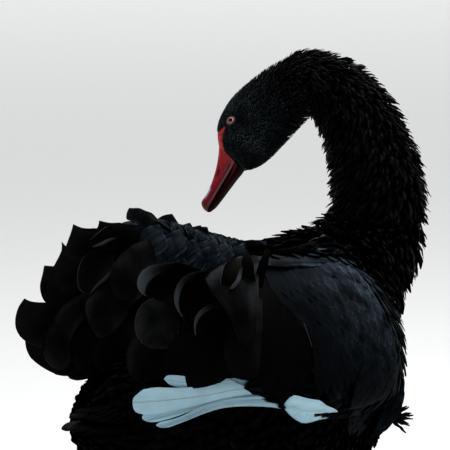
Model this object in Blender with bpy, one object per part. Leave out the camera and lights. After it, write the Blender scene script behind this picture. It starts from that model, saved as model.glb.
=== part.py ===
"""A life-size black swan, resting on its belly, with its neck arched back over its left side.

Metres. The bird faces -Y, its left side is +X, and it rests on the plane z = 0.
In the tables, "ahead" is the distance forward of the origin, "left" is the distance towards
the bird's left side, and "up" is the height above the floor.
"""

import math

import bmesh
import bpy
import numpy as np
from mathutils import Matrix, Vector

GAP = 0.0003
CUT_GAP = 0.0005

# The torso: ahead and up of the back line, ahead and up of the belly line, half width.
TORSO_STATIONS = [
    (-0.258, 0.132, -0.258, 0.112, 0.016),
    (-0.246, 0.148, -0.248, 0.092, 0.034),
    (-0.220, 0.166, -0.224, 0.060, 0.062),
    (-0.175, 0.186, -0.178, 0.028, 0.088),
    (-0.110, 0.212, -0.110, 0.004, 0.108),
    (-0.030, 0.240, -0.030, -0.006, 0.118),
    (0.040, 0.264, 0.048, -0.005, 0.112),
    (0.078, 0.272, 0.112, 0.012, 0.098),
    (0.098, 0.273, 0.152, 0.048, 0.083),
    (0.110, 0.271, 0.176, 0.095, 0.070),
    (0.119, 0.269, 0.197, 0.142, 0.061),
    (0.128, 0.269, 0.226, 0.186, 0.055),
    (0.136, 0.271, 0.258, 0.222, 0.052),
]
# The neck above it, in an upright plane turned to the bird's left: across, up, radius.
NECK_AHEAD = 0.209
NECK_TURN = math.radians(126)
NECK_STATIONS = [
    (-0.002, 0.264, 0.0485),
    (-0.005, 0.292, 0.0475),
    (-0.001, 0.322, 0.0450),
    (0.008, 0.352, 0.0420),
    (0.022, 0.381, 0.0390),
    (0.043, 0.403, 0.0355),
    (0.066, 0.412, 0.0335),
]
# The head: across, up, lean of the crown side from upright in degrees, half depth, half width.
HEAD_STATIONS = [
    (0.0860, 0.4005, 16.0, 0.0355, 0.0305),
    (0.1070, 0.3830, 23.5, 0.0385, 0.0270),
    (0.1255, 0.3655, 29.0, 0.0385, 0.0250),
    (0.1370, 0.3525, 35.0, 0.0345, 0.0240),
    (0.1435, 0.3430, 40.5, 0.0285, 0.0215),
    (0.1460, 0.3335, 45.8, 0.0200, 0.0160),
]
HEAD_ROLL = math.radians(20)
NECK_BASE, NECK_MIDDLE, NECK_TOP, NAPE = 10.0, 14.0, 17.0, 20.4
BODY_SIDES, NECK_SIDES, HEAD_SIDES = 24, 20, 22
TORSO_STEPS = 18

# The bill, from the middle of its base: along, mouth edge, outer edge, half width, base slope.
BILL_LEAN = math.radians(65.7)
UPPER_BILL = [
    (0.0000, -0.0083, 0.0184, 0.0146, 0.361),
    (0.0080, -0.0078, 0.0142, 0.0142, 0.280),
    (0.0180, -0.0066, 0.0108, 0.0136, 0.160),
    (0.0280, -0.0052, 0.0090, 0.0130, 0.060),
    (0.0380, -0.0040, 0.0082, 0.0127, 0.000),
    (0.0480, -0.0028, 0.0091, 0.0126, 0.000),
    (0.0550, -0.0020, 0.0092, 0.0117, 0.000),
    (0.0595, -0.0016, 0.0064, 0.0082, 0.000),
    (0.0615, -0.0014, 0.0028, 0.0036, 0.000),
]
LOWER_BILL = [
    (0.0000, -0.0088, -0.0166, 0.0136, 0.361),
    (0.0080, -0.0098, -0.0152, 0.0130, 0.280),
    (0.0180, -0.0094, -0.0128, 0.0120, 0.160),
    (0.0280, -0.0080, -0.0110, 0.0112, 0.060),
    (0.0380, -0.0058, -0.0091, 0.0105, 0.000),
    (0.0480, -0.0035, -0.0070, 0.0098, 0.000),
    (0.0550, -0.0025, -0.0051, 0.0084, 0.000),
    (0.0585, -0.0021, -0.0035, 0.0052, 0.000),
]

# The eyes, by station of the whole body line and by share of the head's half depth.
EYE_STATION = 22.80
EYE_CROWN_SHARE = 0.46
EYE_RADIUS = 0.0060
EYE_SINK = 0.0040
LID_RADIUS = 0.0012

# Each wing's covert-covered body: ahead, left, up, long and thick half axes, tilt in degrees,
# and how much higher the left wing is held.
WING_STATIONS = [
    (0.146, 0.058, 0.176, 0.012, 0.008, 60.0, 0.000),
    (0.134, 0.060, 0.178, 0.040, 0.024, 60.0, 0.001),
    (0.100, 0.067, 0.182, 0.068, 0.037, 59.0, 0.003),
    (0.050, 0.084, 0.184, 0.086, 0.048, 58.0, 0.006),
    (-0.010, 0.086, 0.187, 0.092, 0.050, 58.0, 0.014),
    (-0.070, 0.084, 0.192, 0.089, 0.046, 58.0, 0.028),
    (-0.120, 0.079, 0.198, 0.078, 0.036, 60.0, 0.040),
    (-0.160, 0.073, 0.205, 0.060, 0.023, 62.0, 0.046),
    (-0.182, 0.068, 0.210, 0.038, 0.010, 64.0, 0.050),
]
WING_SIDES = 18

# Rows of feathers on each wing: station of their roots, first and last place around the wing in
# degrees from its upper edge, count, length, width, how far back the last root stands in
# stations, by how many degrees the feathers fall away from the wing's long direction, and bend.
FEATHER_ROWS = [
    ("lesser_covert", 1.9, 28, 124, 4, 0.068, 0.050, 0.3, 40, -26),
    ("scapular_front", 2.6, -30, 4, 2, 0.070, 0.050, 0.0, -8, -14),
    ("median_covert", 2.9, 24, 132, 5, 0.080, 0.054, 0.4, 36, -26),
    ("scapular_middle", 3.6, -46, 2, 3, 0.078, 0.052, 0.0, -6, -14),
    ("greater_covert", 3.9, 22, 136, 6, 0.098, 0.056, 0.5, 32, -26),
    ("scapular_rear", 4.6, -62, -8, 3, 0.080, 0.054, 0.0, -4, -12),
    ("secondary", 5.1, 60, 136, 5, 0.112, 0.058, 0.5, 24, -20),
]

ROOT_SINK = 0.005
VANE_THICK = 0.0016

# Long feathers by the root's station and place around the wing, then the tip's ahead, left and
# up, the width, the cup and the added curl in degrees, and the bend in degrees.
LEFT_LONG_FEATHERS = [
    (4.8, -8, -0.150, 0.036, 0.300, 0.050, -20, -40, -10),
    (5.1, 4, -0.185, 0.060, 0.292, 0.060, -20, -40, -10),
    (5.3, 18, -0.207, 0.080, 0.284, 0.066, -20, -40, -10),
    (5.4, 36, -0.220, 0.094, 0.262, 0.068, -20, -40, -10),
    (5.5, 56, -0.224, 0.112, 0.240, 0.070, -20, -40, -10),
    (5.6, 84, -0.224, 0.132, 0.206, 0.072, -20, -40, -10),
    (5.6, 110, -0.210, 0.128, 0.172, 0.066, -20, -30, -8),
    (5.5, 135, -0.192, 0.106, 0.150, 0.060, -10, -20, 0),
    (5.2, -30, -0.185, 0.054, 0.250, 0.062, -20, -40, -14),
    (5.4, -56, -0.198, 0.066, 0.206, 0.062, -20, -30, -14),
    (5.4, -86, -0.184, 0.068, 0.166, 0.058, -10, -20, -10),
]
RIGHT_LONG_FEATHERS = [
    (4.1, 0, -0.085, -0.034, 0.276, 0.050, 60, 60, 30),
    (5.0, -14, -0.205, 0.004, 0.246, 0.066, 30, 70, 10),
    (5.2, 6, -0.228, -0.026, 0.262, 0.070, 40, 80, 40),
    (5.4, 26, -0.208, -0.058, 0.250, 0.068, 40, 80, 40),
    (5.6, 46, -0.196, -0.078, 0.226, 0.066, 40, 70, 30),
    (5.2, -40, -0.228, -0.010, 0.206, 0.070, 20, 20, -20),
    (5.5, -66, -0.246, 0.000, 0.178, 0.070, 10, 10, -20),
    (5.7, 62, -0.222, -0.050, 0.196, 0.068, 20, 20, -20),
    (5.7, 80, -0.248, -0.036, 0.166, 0.070, 10, 10, -20),
    (5.8, 100, -0.208, -0.075, 0.160, 0.066, 10, 10, -16),
    (5.7, 122, -0.176, -0.090, 0.152, 0.062, 0, 10, -8),
]

# The white primaries fold out of each wing's lower edge: the hand's place, then each wing's tips.
HAND_STATION = 5.0
HAND_ANGLE = 158
HAND_SINK = 0.011
PRIMARY_WIDTH = 0.025
PRIMARY_SWEEP = 36
RIGHT_PRIMARY_TIPS = [
    (-0.166, -0.150, 0.126),
    (-0.262, -0.092, 0.146),
    (-0.280, -0.064, 0.154),
    (-0.284, -0.054, 0.146),
    (-0.282, -0.052, 0.138),
    (-0.270, -0.050, 0.124),
]
LEFT_PRIMARY_TIPS = [
    (-0.150, 0.132, 0.132),
    (-0.165, 0.126, 0.128),
    (-0.176, 0.120, 0.124),
    (-0.180, 0.114, 0.118),
]

# The tail: the middle of its base, its half axes, and its quills.
TAIL_BASE = (-0.236, 0.0, 0.130)
TAIL_HALF = (0.036, 0.034, 0.016)
TAIL_COUNT = 9
TAIL_SPREAD = 13
TAIL_LENGTH = 0.068

# The legs: stops of the tarsus and of the tibia (ahead, left, up, radius), then the webbed foot.
LEG_TUCK = 0.018
LEG_STOPS = [
    (-0.128, 0.078, 0.013, 0.0085),
    (-0.118, 0.080, 0.013, 0.0100),
    (-0.100, 0.083, 0.012, 0.0075),
    (-0.060, 0.090, 0.009, 0.0065),
    (-0.036, 0.095, 0.007, 0.0075),
    (-0.028, 0.097, 0.005, 0.0055),
]
TIBIA_STOPS = [
    (-0.126, 0.078, 0.014, 0.0090),
    (-0.104, 0.076, 0.030, 0.0130),
    (-0.070, 0.066, 0.052, 0.0200),
]
FOOT_ANKLE = (-0.034, 0.095)
TOE_TIPS = [
    (0.046, 0.078, 0.0040),
    (0.062, 0.106, 0.0042),
    (0.044, 0.134, 0.0040),
]

# Colour and roughness by the start of a part's name.
LOOKS = {
    "bill_upper": ((0.46, 0.02, 0.035), 0.35),
    "bill_lower": ((0.20, 0.025, 0.045), 0.40),
    "eye": ((0.30, 0.03, 0.03), 0.08),
    "primaries": ((0.82, 0.83, 0.84), 0.55),
    "leg": ((0.045, 0.045, 0.050), 0.55),
    "": ((0.018, 0.018, 0.021), 0.50),
}

UP = np.array((0.0, 0.0, 1.0))
AHEAD = np.array((0.0, -1.0, 0.0))
LEFT = np.array((1.0, 0.0, 0.0))
ARCH = math.cos(NECK_TURN) * AHEAD + math.sin(NECK_TURN) * LEFT
ARCH_SIDE = np.cross(UP, ARCH)


def place(ahead, left, up):
    """The point at these distances from the origin."""
    return ahead * AHEAD + left * LEFT + up * UP


def arch_place(across, up):
    """A point in the neck's upright plane."""
    return place(NECK_AHEAD, 0, up) + across * ARCH


def unit(vector):
    return vector / np.linalg.norm(vector)


def torso_rows():
    """Centre, dorsal and left vectors of each torso section."""
    rows = []
    for back_ahead, back_up, belly_ahead, belly_up, half_width in TORSO_STATIONS:
        back = place(back_ahead, 0, back_up)
        belly = place(belly_ahead, 0, belly_up)
        rows.append(((back + belly) / 2, (back - belly) / 2, half_width * LEFT))
    return rows


def neck_rows():
    """The neck's round sections, whose dorsal side turns from the back to the arch's outside."""
    centres = [arch_place(across, up) for across, up, _ in NECK_STATIONS]
    after = arch_place(*HEAD_STATIONS[0][:2])
    before = centres[0] - 0.03 * UP
    line = [before, *centres, after]
    rows = []
    for i, (_, _, radius) in enumerate(NECK_STATIONS):
        tangent = unit(line[i + 2] - line[i])
        outside = unit(np.cross(tangent, ARCH_SIDE))
        share = (i + 0.5) / (len(NECK_STATIONS) + 0.5)
        turn = (1 - share) * NECK_TURN - share * HEAD_ROLL
        dorsal = math.cos(turn) * outside + math.sin(turn) * ARCH_SIDE
        rows.append((centres[i], radius * dorsal, radius * np.cross(dorsal, tangent)))
    return rows


def head_axes(lean):
    """The directions of the crown and of the left cheek, for a section leaning this much."""
    crown = math.cos(lean) * UP + math.sin(lean) * ARCH
    rolled_crown = math.cos(HEAD_ROLL) * crown - math.sin(HEAD_ROLL) * ARCH_SIDE
    rolled_left = math.cos(HEAD_ROLL) * ARCH_SIDE + math.sin(HEAD_ROLL) * crown
    return rolled_crown, rolled_left


def head_rows():
    rows = []
    for across, up, lean, half_depth, half_width in HEAD_STATIONS:
        crown, left = head_axes(math.radians(lean))
        rows.append((arch_place(across, up), half_depth * crown, half_width * left))
    return rows


BODY_LINE = np.array([np.concatenate(row) for row in torso_rows() + neck_rows() + head_rows()])


def spline(rows, s):
    """A Catmull-Rom curve through the rows, at s counted in rows."""
    last = len(rows) - 1
    i = min(int(s), last - 1)
    t = s - i
    before, start, end, after = (rows[min(max(k, 0), last)] for k in range(i - 1, i + 3))
    return 0.5 * (
        2 * start
        + (end - before) * t
        + (2 * before - 5 * start + 4 * end - after) * t**2
        + (3 * start - before - 3 * end + after) * t**3
    )


def body_section(s):
    """Centre, dorsal and left vectors of the body at station s."""
    row = spline(BODY_LINE, s)
    return row[:3], row[3:6], row[6:9]


def ring(centre, dorsal, left, sides, grow=0.0):
    """An elliptic ring of points, optionally grown outwards."""
    dorsal = dorsal + grow * unit(dorsal)
    left = left + grow * unit(left)
    angles = np.arange(sides) * math.tau / sides
    return centre + np.outer(np.cos(angles), dorsal) + np.outer(np.sin(angles), left)


def body_rings(start, end, steps, sides, grow=0.0):
    """Rings along the body line, whose end sections stand half a gap inside the cuts."""
    rings = []
    for k, s in enumerate(np.linspace(start, end, steps + 1)):
        centre, dorsal, left = body_section(s)
        normal = unit(np.cross(left, dorsal))
        inset = {0: GAP / 2, steps: -GAP / 2}.get(k, 0.0)
        rings.append(ring(centre + inset * normal, dorsal, left, sides, grow))
    return rings


def mesh_object(name, points, faces):
    """A mesh object from points and faces, with its normals facing out."""
    mesh = bpy.data.meshes.new(name)
    mesh.from_pydata([tuple(p) for p in points], [], faces)
    shell = bmesh.new()
    shell.from_mesh(mesh)
    bmesh.ops.recalc_face_normals(shell, faces=shell.faces)
    bmesh.ops.triangulate(shell, faces=shell.faces, quad_method="FIXED")
    shell.to_mesh(mesh)
    shell.free()
    obj = bpy.data.objects.new(name, mesh)
    PARTS.objects.link(obj)
    return obj


def loft(name, rings):
    """A closed body through rings of equal count, with flat ends."""
    sides = len(rings[0])
    points = np.concatenate(rings)
    faces = [tuple(range(sides)), tuple(range(len(points) - sides, len(points)))]
    for r in range(len(rings) - 1):
        for k in range(sides):
            here, there = r * sides + k, r * sides + (k + 1) % sides
            faces.append((here, there, there + sides, here + sides))
    return mesh_object(name, points, faces)


def vane_grid(root, along, face, length, width, shape, steps, splits):
    """A feather's middle surface: (steps + 1) rows of (splits + 1) points, and its normals.

    along is the shaft's direction at the root and face the side that looks out. The shape's
    angles are in degrees: lift turns the root outwards, bend curls the shaft outwards, cup
    rolls the edges outwards, sweep bends the shaft towards its side, roll leans the vane.
    """
    along = unit(along)
    face = unit(face - np.dot(face, along) * along)
    side = np.cross(face, along)
    roll = math.radians(shape.get("roll", 0))
    side, face = (
        math.cos(roll) * side + math.sin(roll) * face,
        math.cos(roll) * face - math.sin(roll) * side,
    )
    point = np.array(root, float)
    rows, normals = [], []
    for i in range(steps + 1):
        u = i / steps
        rise = math.radians(shape.get("lift", 0) + shape.get("bend", 0) * u)
        yaw = math.radians(shape.get("sweep", 0) * u)
        level = math.cos(yaw) * along + math.sin(yaw) * side
        shaft = math.cos(rise) * level + math.sin(rise) * face
        out = math.cos(rise) * face - math.sin(rise) * level
        across = np.cross(out, shaft)
        if i:
            point = point + shaft * (length / steps)
        cup = math.radians(shape.get("cup", 0) + shape.get("curl", 0) * u**2)
        half = width / 2 * vane_width(u, shape.get("blunt", 0.5), shape.get("tip", 0.25))
        row, row_normals = [], []
        for j in range(splits + 1):
            v = 2 * j / splits - 1
            angle = v * cup / 2
            flat = half * v if abs(cup) < 0.02 else 2 * half * math.sin(angle) / cup
            raised = 0.0 if abs(cup) < 0.02 else 2 * half * (1 - math.cos(angle)) / cup
            row.append(point + flat * across + raised * out)
            row_normals.append(math.cos(angle) * out - math.sin(angle) * across)
        rows.append(row)
        normals.append(row_normals)
    return np.array(rows), np.array(normals)


def vane_width(u, blunt, tip):
    """A vane's width as a share of its widest, from its root at u = 0 to its tip at u = 1."""
    opening = 0.45 + 0.55 * math.sin(min(u / 0.6, 1.0) * math.pi / 2)
    closing = math.sqrt(max(1 - max((u - blunt) / (1 - blunt), 0.0) ** 2, 0.0))
    return opening * max(closing, tip)


def vane(name, root, along, face, length, width, shape, steps=5, splits=2, thick=0.0014):
    """A feather as a thin closed plate that tapers to its tip."""
    rows, normals = vane_grid(root, along, face, length, width, shape, steps, splits)
    taper = np.linspace(1.0, 0.6, steps + 1)[:, None, None] * thick / 2
    upper = (rows + taper * normals).reshape(-1, 3)
    lower = (rows - taper * normals).reshape(-1, 3)
    wide, count = splits + 1, len(upper)
    faces = []
    for i in range(steps):
        for j in range(splits):
            a, b, c, d = i * wide + j, i * wide + j + 1, (i + 1) * wide + j + 1, (i + 1) * wide + j
            for triangle in ((a, b, c), (a, c, d)):
                faces.append(triangle)
                faces.append(tuple(k + count for k in reversed(triangle)))
    rim = list(range(wide))
    rim += [(i + 1) * wide - 1 for i in range(1, steps + 1)]
    rim += [steps * wide + j for j in range(splits - 1, -1, -1)]
    rim += [i * wide for i in range(steps - 1, 0, -1)]
    for here, there in zip(rim, rim[1:] + rim[:1]):
        faces.append((there, here, here + count))
        faces.append((there, here + count, there + count))
    return mesh_object(name, np.concatenate([upper, lower]), faces)


def apply_boolean(obj, operation, others, solver="EXACT"):
    """Joins the other objects to obj, or cuts them from it, and removes them."""
    tools = bpy.data.collections.new("tools")
    bpy.context.scene.collection.children.link(tools)
    for other in others:
        PARTS.objects.unlink(other)
        tools.objects.link(other)
    modifier = obj.modifiers.new(operation, "BOOLEAN")
    modifier.operation = operation
    modifier.solver = solver
    modifier.operand_type = "COLLECTION"
    modifier.collection = tools
    graph = bpy.context.evaluated_depsgraph_get()
    mesh = bpy.data.meshes.new_from_object(obj.evaluated_get(graph))
    obj.modifiers.clear()
    obj.data = mesh
    for other in others:
        bpy.data.objects.remove(other)
    bpy.data.collections.remove(tools)
    keep_largest(obj)


def keep_largest(obj):
    """Keeps only the largest closed surface of a mesh."""
    shell = bmesh.new()
    shell.from_mesh(obj.data)
    bmesh.ops.triangulate(shell, faces=shell.faces)
    shell.verts.index_update()
    left_over = set(shell.verts)
    pieces = []
    while left_over:
        edge = [left_over.pop()]
        piece = list(edge)
        while edge:
            vert = edge.pop()
            for link in vert.link_edges:
                other = link.other_vert(vert)
                if other in left_over:
                    left_over.remove(other)
                    edge.append(other)
                    piece.append(other)
        pieces.append(piece)
    pieces.sort(key=extent)
    for piece in pieces[:-1]:
        bmesh.ops.delete(shell, geom=piece, context="VERTS")
    shell.to_mesh(obj.data)
    shell.free()


def simplify(obj):
    """Merges the nearly flat faces that a union leaves, as long as the mesh stays closed."""
    for degrees in (1.0, 0.5, 0.2):
        shell = bmesh.new()
        shell.from_mesh(obj.data)
        bmesh.ops.dissolve_limit(
            shell, angle_limit=math.radians(degrees), verts=shell.verts, edges=shell.edges
        )
        bmesh.ops.triangulate(shell, faces=shell.faces)
        closed = all(edge.is_manifold for edge in shell.edges)
        if closed:
            shell.to_mesh(obj.data)
        shell.free()
        if closed:
            return


def extent(verts):
    """The diagonal of a group of vertices' box."""
    points = np.array([v.co for v in verts])
    return float(np.linalg.norm(points.max(0) - points.min(0)))


def flatten_below(obj, height=0.0):
    """Cuts away what lies under a level and closes the mesh with a flat."""
    shell = bmesh.new()
    shell.from_mesh(obj.data)
    geom = shell.verts[:] + shell.edges[:] + shell.faces[:]
    cut = bmesh.ops.bisect_plane(
        shell, geom=geom, plane_co=(0, 0, height), plane_no=(0, 0, 1), clear_inner=True
    )
    edges = [e for e in cut["geom_cut"] if isinstance(e, bmesh.types.BMEdge)]
    bmesh.ops.holes_fill(shell, edges=edges)
    bmesh.ops.recalc_face_normals(shell, faces=shell.faces)
    shell.to_mesh(obj.data)
    shell.free()


def body_cutter():
    """The torso and lower neck, grown by a little more than a gap."""
    torso = loft("cutter_torso", body_rings(0, NECK_BASE, TORSO_STEPS, BODY_SIDES, CUT_GAP))
    neck = loft("cutter_neck", body_rings(NECK_BASE, NECK_MIDDLE, 8, NECK_SIDES, CUT_GAP))
    return [torso, neck]


def build_body():
    """The torso, the three lengths of neck and the head, parted by thin cuts."""
    torso = loft("torso", body_rings(0, NECK_BASE, TORSO_STEPS, BODY_SIDES))
    flatten_below(torso)
    loft("neck_lower", body_rings(NECK_BASE, NECK_MIDDLE, 8, NECK_SIDES))
    loft("neck_middle", body_rings(NECK_MIDDLE, NECK_TOP, 6, NECK_SIDES))
    loft("neck_upper", body_rings(NECK_TOP, NAPE, 7, NECK_SIDES))
    head = loft("head", body_rings(NAPE, 25, 12, HEAD_SIDES))
    lids, sockets = [], []
    for name, sign in (("left", 1), ("right", -1)):
        centre, outward, surface = eye_place(sign)
        turn = Vector(outward).to_track_quat("Z", "Y").to_euler()
        bpy.ops.mesh.primitive_torus_add(
            major_radius=0.0047,
            minor_radius=LID_RADIUS,
            major_segments=16,
            minor_segments=6,
            location=surface,
            rotation=turn,
        )
        lids.append(adopt("lid_" + name))
        sockets.append(ball("socket_" + name, centre, EYE_RADIUS + GAP, 16, 9))
        ball("eye_" + name, centre, EYE_RADIUS, 16, 9)
    apply_boolean(head, "UNION", lids)
    apply_boolean(head, "DIFFERENCE", sockets)
    simplify(head)


def adopt(name):
    """Names the object that an operator has just made and moves it among the parts."""
    obj = bpy.context.object
    obj.name = name
    for collection in list(obj.users_collection):
        collection.objects.unlink(obj)
    PARTS.objects.link(obj)
    return obj


def ball(name, centre, radius, segments, rings):
    bpy.ops.mesh.primitive_uv_sphere_add(
        segments=segments, ring_count=rings, radius=radius, location=centre
    )
    return adopt(name)


def eye_place(sign):
    """An eye's centre, its outward direction, and the point on the head over it."""
    centre, dorsal, left = body_section(EYE_STATION)
    share = math.sqrt(1 - EYE_CROWN_SHARE**2)
    surface = centre + EYE_CROWN_SHARE * dorsal + sign * share * left
    depth, width = np.linalg.norm(dorsal), np.linalg.norm(left)
    outward = unit(EYE_CROWN_SHARE / depth * unit(dorsal) + sign * share / width * unit(left))
    return surface - EYE_SINK * outward, outward, surface


def bill_point(along, out, side, slope):
    """A point of the bill, from the middle of its base, in the head's rolled axes."""
    crown, left = head_axes(BILL_LEAN)
    forward = np.cross(left, crown)
    base = arch_place(*HEAD_STATIONS[-1][:2])
    along -= slope * (math.cos(HEAD_ROLL) * out + math.sin(HEAD_ROLL) * side)
    return base + along * forward + out * crown + side * left


def bill_rings(stations, sides=16, start=GAP):
    """D-shaped rings from the mouth edge out to the culmen or the chin."""
    rings = []
    for along, mouth, outer, half_width, slope in stations:
        points = []
        for k in range(sides + 1):
            angle = math.pi * k / sides
            side = half_width * math.cos(angle)
            out = mouth + (outer - mouth) * math.sin(angle) ** 0.8
            points.append(bill_point(along + start, out, side, slope))
        points.append(bill_point(along + start, mouth, -half_width * 0.5, slope))
        points.append(bill_point(along + start, mouth, half_width * 0.5, slope))
        rings.append(np.array(points))
    return rings


def build_bill():
    upper = loft("bill_upper", bill_rings(UPPER_BILL))
    loft("bill_lower", bill_rings(LOWER_BILL))
    crown, left = head_axes(BILL_LEAN)
    cutters = []
    for sign in (1, -1):
        nostril = ball(f"nostril_{sign}", (0, 0, 0), 1.0, 12, 8)
        forward = np.cross(left, crown)
        axes = Matrix([forward, crown, left]).transposed().to_4x4()
        nostril.matrix_world = (
            Matrix.Translation(bill_point(0.020, 0.0052, sign * 0.0108, 0.0))
            @ axes
            @ Matrix.Diagonal((0.0042, 0.0016, 0.0022, 1.0))
        )
        cutters.append(nostril)
    apply_boolean(upper, "DIFFERENCE", cutters)


def wing_rows(sign):
    """Centre, long and thick vectors of each section of one wing's body."""
    rows = []
    for ahead, left, up, long_half, thick_half, tilt, raised in WING_STATIONS:
        tilt = math.radians(tilt)
        inner = -math.cos(tilt) * sign * LEFT + math.sin(tilt) * UP
        outer = math.sin(tilt) * sign * LEFT + math.cos(tilt) * UP
        centre = place(ahead, sign * left, up + (raised if sign > 0 else 0.0))
        rows.append(np.concatenate([centre, long_half * inner, thick_half * outer]))
    return np.array(rows)


def wing_point(sign, s, degrees):
    """A point on a wing's body, its outward normal and the backward direction along it."""
    rows = wing_rows(sign)
    angle = math.radians(degrees)
    here, there = spline(rows, s), spline(rows, s + 0.1)
    spots = [
        row[:3] + math.cos(angle) * row[3:6] + math.sin(angle) * row[6:9] for row in (here, there)
    ]
    back = unit(spots[1] - spots[0])
    around = -math.sin(angle) * here[3:6] + math.cos(angle) * here[6:9]
    normal = unit(np.cross(around, back)) * sign
    return spots[0], normal, back


def aimed_vane(name, root, tip, face, width, shape, **detail):
    """A vane from a root to a tip, whatever its bend."""
    root, tip = np.array(root, float), np.array(tip, float)
    along, length = unit(tip - root), float(np.linalg.norm(tip - root))
    for _ in range(4):
        rows, _ = vane_grid(root, along, face, length, width, shape, 6, 2)
        reach = rows[-1][1] - root
        turn = Vector(reach).rotation_difference(Vector(tip - root))
        along = np.array(turn @ Vector(along))
        length *= np.linalg.norm(tip - root) / np.linalg.norm(reach)
    return vane(name, root, along, face, length, width, shape, **detail)


def wing_vanes(sign):
    """The coverts and secondaries in rows, and the long feathers at the wing's rear."""
    vanes = []
    for row_name, station, first, last, count, length, width, step, fall, bend in FEATHER_ROWS:
        for k in range(count):
            share = k / (count - 1)
            degrees = first + (last - first) * share
            point, normal, back = wing_point(sign, station + step * (share - 0.5), degrees)
            around = sign * np.cross(back, normal)
            back = unit(math.cos(math.radians(fall)) * back + math.sin(math.radians(fall)) * around)
            shape = {"lift": 11, "bend": bend, "cup": -46, "roll": sign * -9, "blunt": 0.45}
            root = point - ROOT_SINK * normal
            steps = 3 if length > 0.08 else 2
            vanes.append(
                vane(row_name, root, back, normal, length, width, shape, steps, thick=VANE_THICK)
            )
    table = LEFT_LONG_FEATHERS if sign > 0 else RIGHT_LONG_FEATHERS
    towards = LEFT + 0.4 * AHEAD if sign > 0 else 0.3 * UP - 0.8 * AHEAD - 0.3 * LEFT
    keeping = 0.2 if sign > 0 else 0.5
    for station, degrees, ahead, left, up, width, cup, curl, bend in table:
        point, normal, back = wing_point(sign, station, degrees)
        shape = {"lift": 0, "bend": bend, "cup": cup, "curl": curl, "blunt": 0.7, "tip": 0.5}
        root = point - 0.006 * normal
        tip = place(ahead, left, up)
        face = keeping * normal + towards
        vanes.append(aimed_vane("long", root, tip, face, width, shape, steps=4, thick=0.0018))
    return vanes


def build_wing(name, sign):
    rows = wing_rows(sign)
    rings = []
    for s in np.linspace(0, len(rows) - 1, 13):
        row = spline(rows, s)
        rings.append(ring(row[:3], row[3:6], row[6:9], WING_SIDES))
    wing = loft(name, rings)
    apply_boolean(wing, "UNION", wing_vanes(sign))
    apply_boolean(wing, "DIFFERENCE", body_cutter() + primaries(sign, CUT_GAP))
    simplify(wing)
    return wing


def primaries(sign, grow=0.0):
    """The hand at a wing's lower edge and the white primaries that fold back from it."""
    lower_edge, normal, _ = wing_point(sign, HAND_STATION, HAND_ANGLE)
    hand_point = lower_edge - HAND_SINK * normal
    tips = LEFT_PRIMARY_TIPS if sign > 0 else RIGHT_PRIMARY_TIPS
    pieces = [ball("hand", hand_point, 1.0, 12, 8)]
    size = (0.010 + grow, 0.022 + grow, 0.012 + grow)
    pieces[0].matrix_world = Matrix.Translation(hand_point) @ Matrix.Diagonal((*size, 1.0))
    for k, tip in enumerate(tips):
        share = k / (len(tips) - 1)
        root = hand_point + place(-0.012 + 0.006 * share, 0, 0.005 - 0.010 * share)
        face = sign * LEFT + 0.4 * UP
        shape = {"sweep": -sign * PRIMARY_SWEEP, "cup": -16, "roll": sign * 6, "blunt": 0.75}
        wide = PRIMARY_WIDTH + 2 * grow
        pieces.append(
            aimed_vane(
                "quill", root, place(*tip), face, wide, shape, steps=4, thick=0.0016 + 2 * grow
            )
        )
    return pieces


def build_primaries(name, sign):
    hand, *vanes = primaries(sign)
    hand.name = name
    bake_transform(hand)
    apply_boolean(hand, "UNION", vanes)
    apply_boolean(hand, "DIFFERENCE", body_cutter())
    simplify(hand)


def bake_transform(obj):
    """Moves an object's place and scale into its mesh."""
    obj.data.transform(obj.matrix_world)
    obj.matrix_world = Matrix.Identity(4)


def build_tail():
    base = ball("tail", (0, 0, 0), 1.0, 16, 8)
    centre = place(*TAIL_BASE)
    ahead_half, left_half, up_half = TAIL_HALF
    base.matrix_world = (
        Matrix.Translation(centre) @ Matrix.Diagonal((left_half, ahead_half, up_half, 1.0))
    )
    bake_transform(base)
    quills = []
    for tier, (count, length, up) in enumerate(((TAIL_COUNT, 1.0, -0.003), (4, 0.66, 0.004))):
        for k in range(count):
            share = 2 * k / (count - 1) - 1
            angle = math.radians(TAIL_SPREAD * share)
            along = place(-math.cos(angle), math.sin(angle), -0.06)
            root = centre + place(-0.016 + 0.004 * tier, 0.024 * share, up - 0.003 * abs(share))
            shape = {"lift": 3 + 3 * tier, "bend": -8, "cup": -14, "roll": 7, "blunt": 0.6}
            reach = TAIL_LENGTH * length * (1 - 0.34 * share**2)
            quills.append(vane("quill", root, along, UP, reach, 0.020, shape, steps=3))
    apply_boolean(base, "UNION", quills)
    apply_boolean(base, "DIFFERENCE", body_cutter())
    simplify(base)


def tube(name, stops, sides=10):
    """A closed limb through points (ahead, left, up, radius), a little flattened from above."""
    rings = []
    centres = [place(*stop[:3]) for stop in stops]
    for i, (*_, radius) in enumerate(stops):
        tangent = unit(centres[min(i + 1, len(stops) - 1)] - centres[max(i - 1, 0)])
        sideways = unit(np.cross(tangent, UP))
        rings.append(ring(centres[i], radius * np.cross(sideways, tangent), radius * sideways, sides))
    return loft(name, rings)


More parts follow.
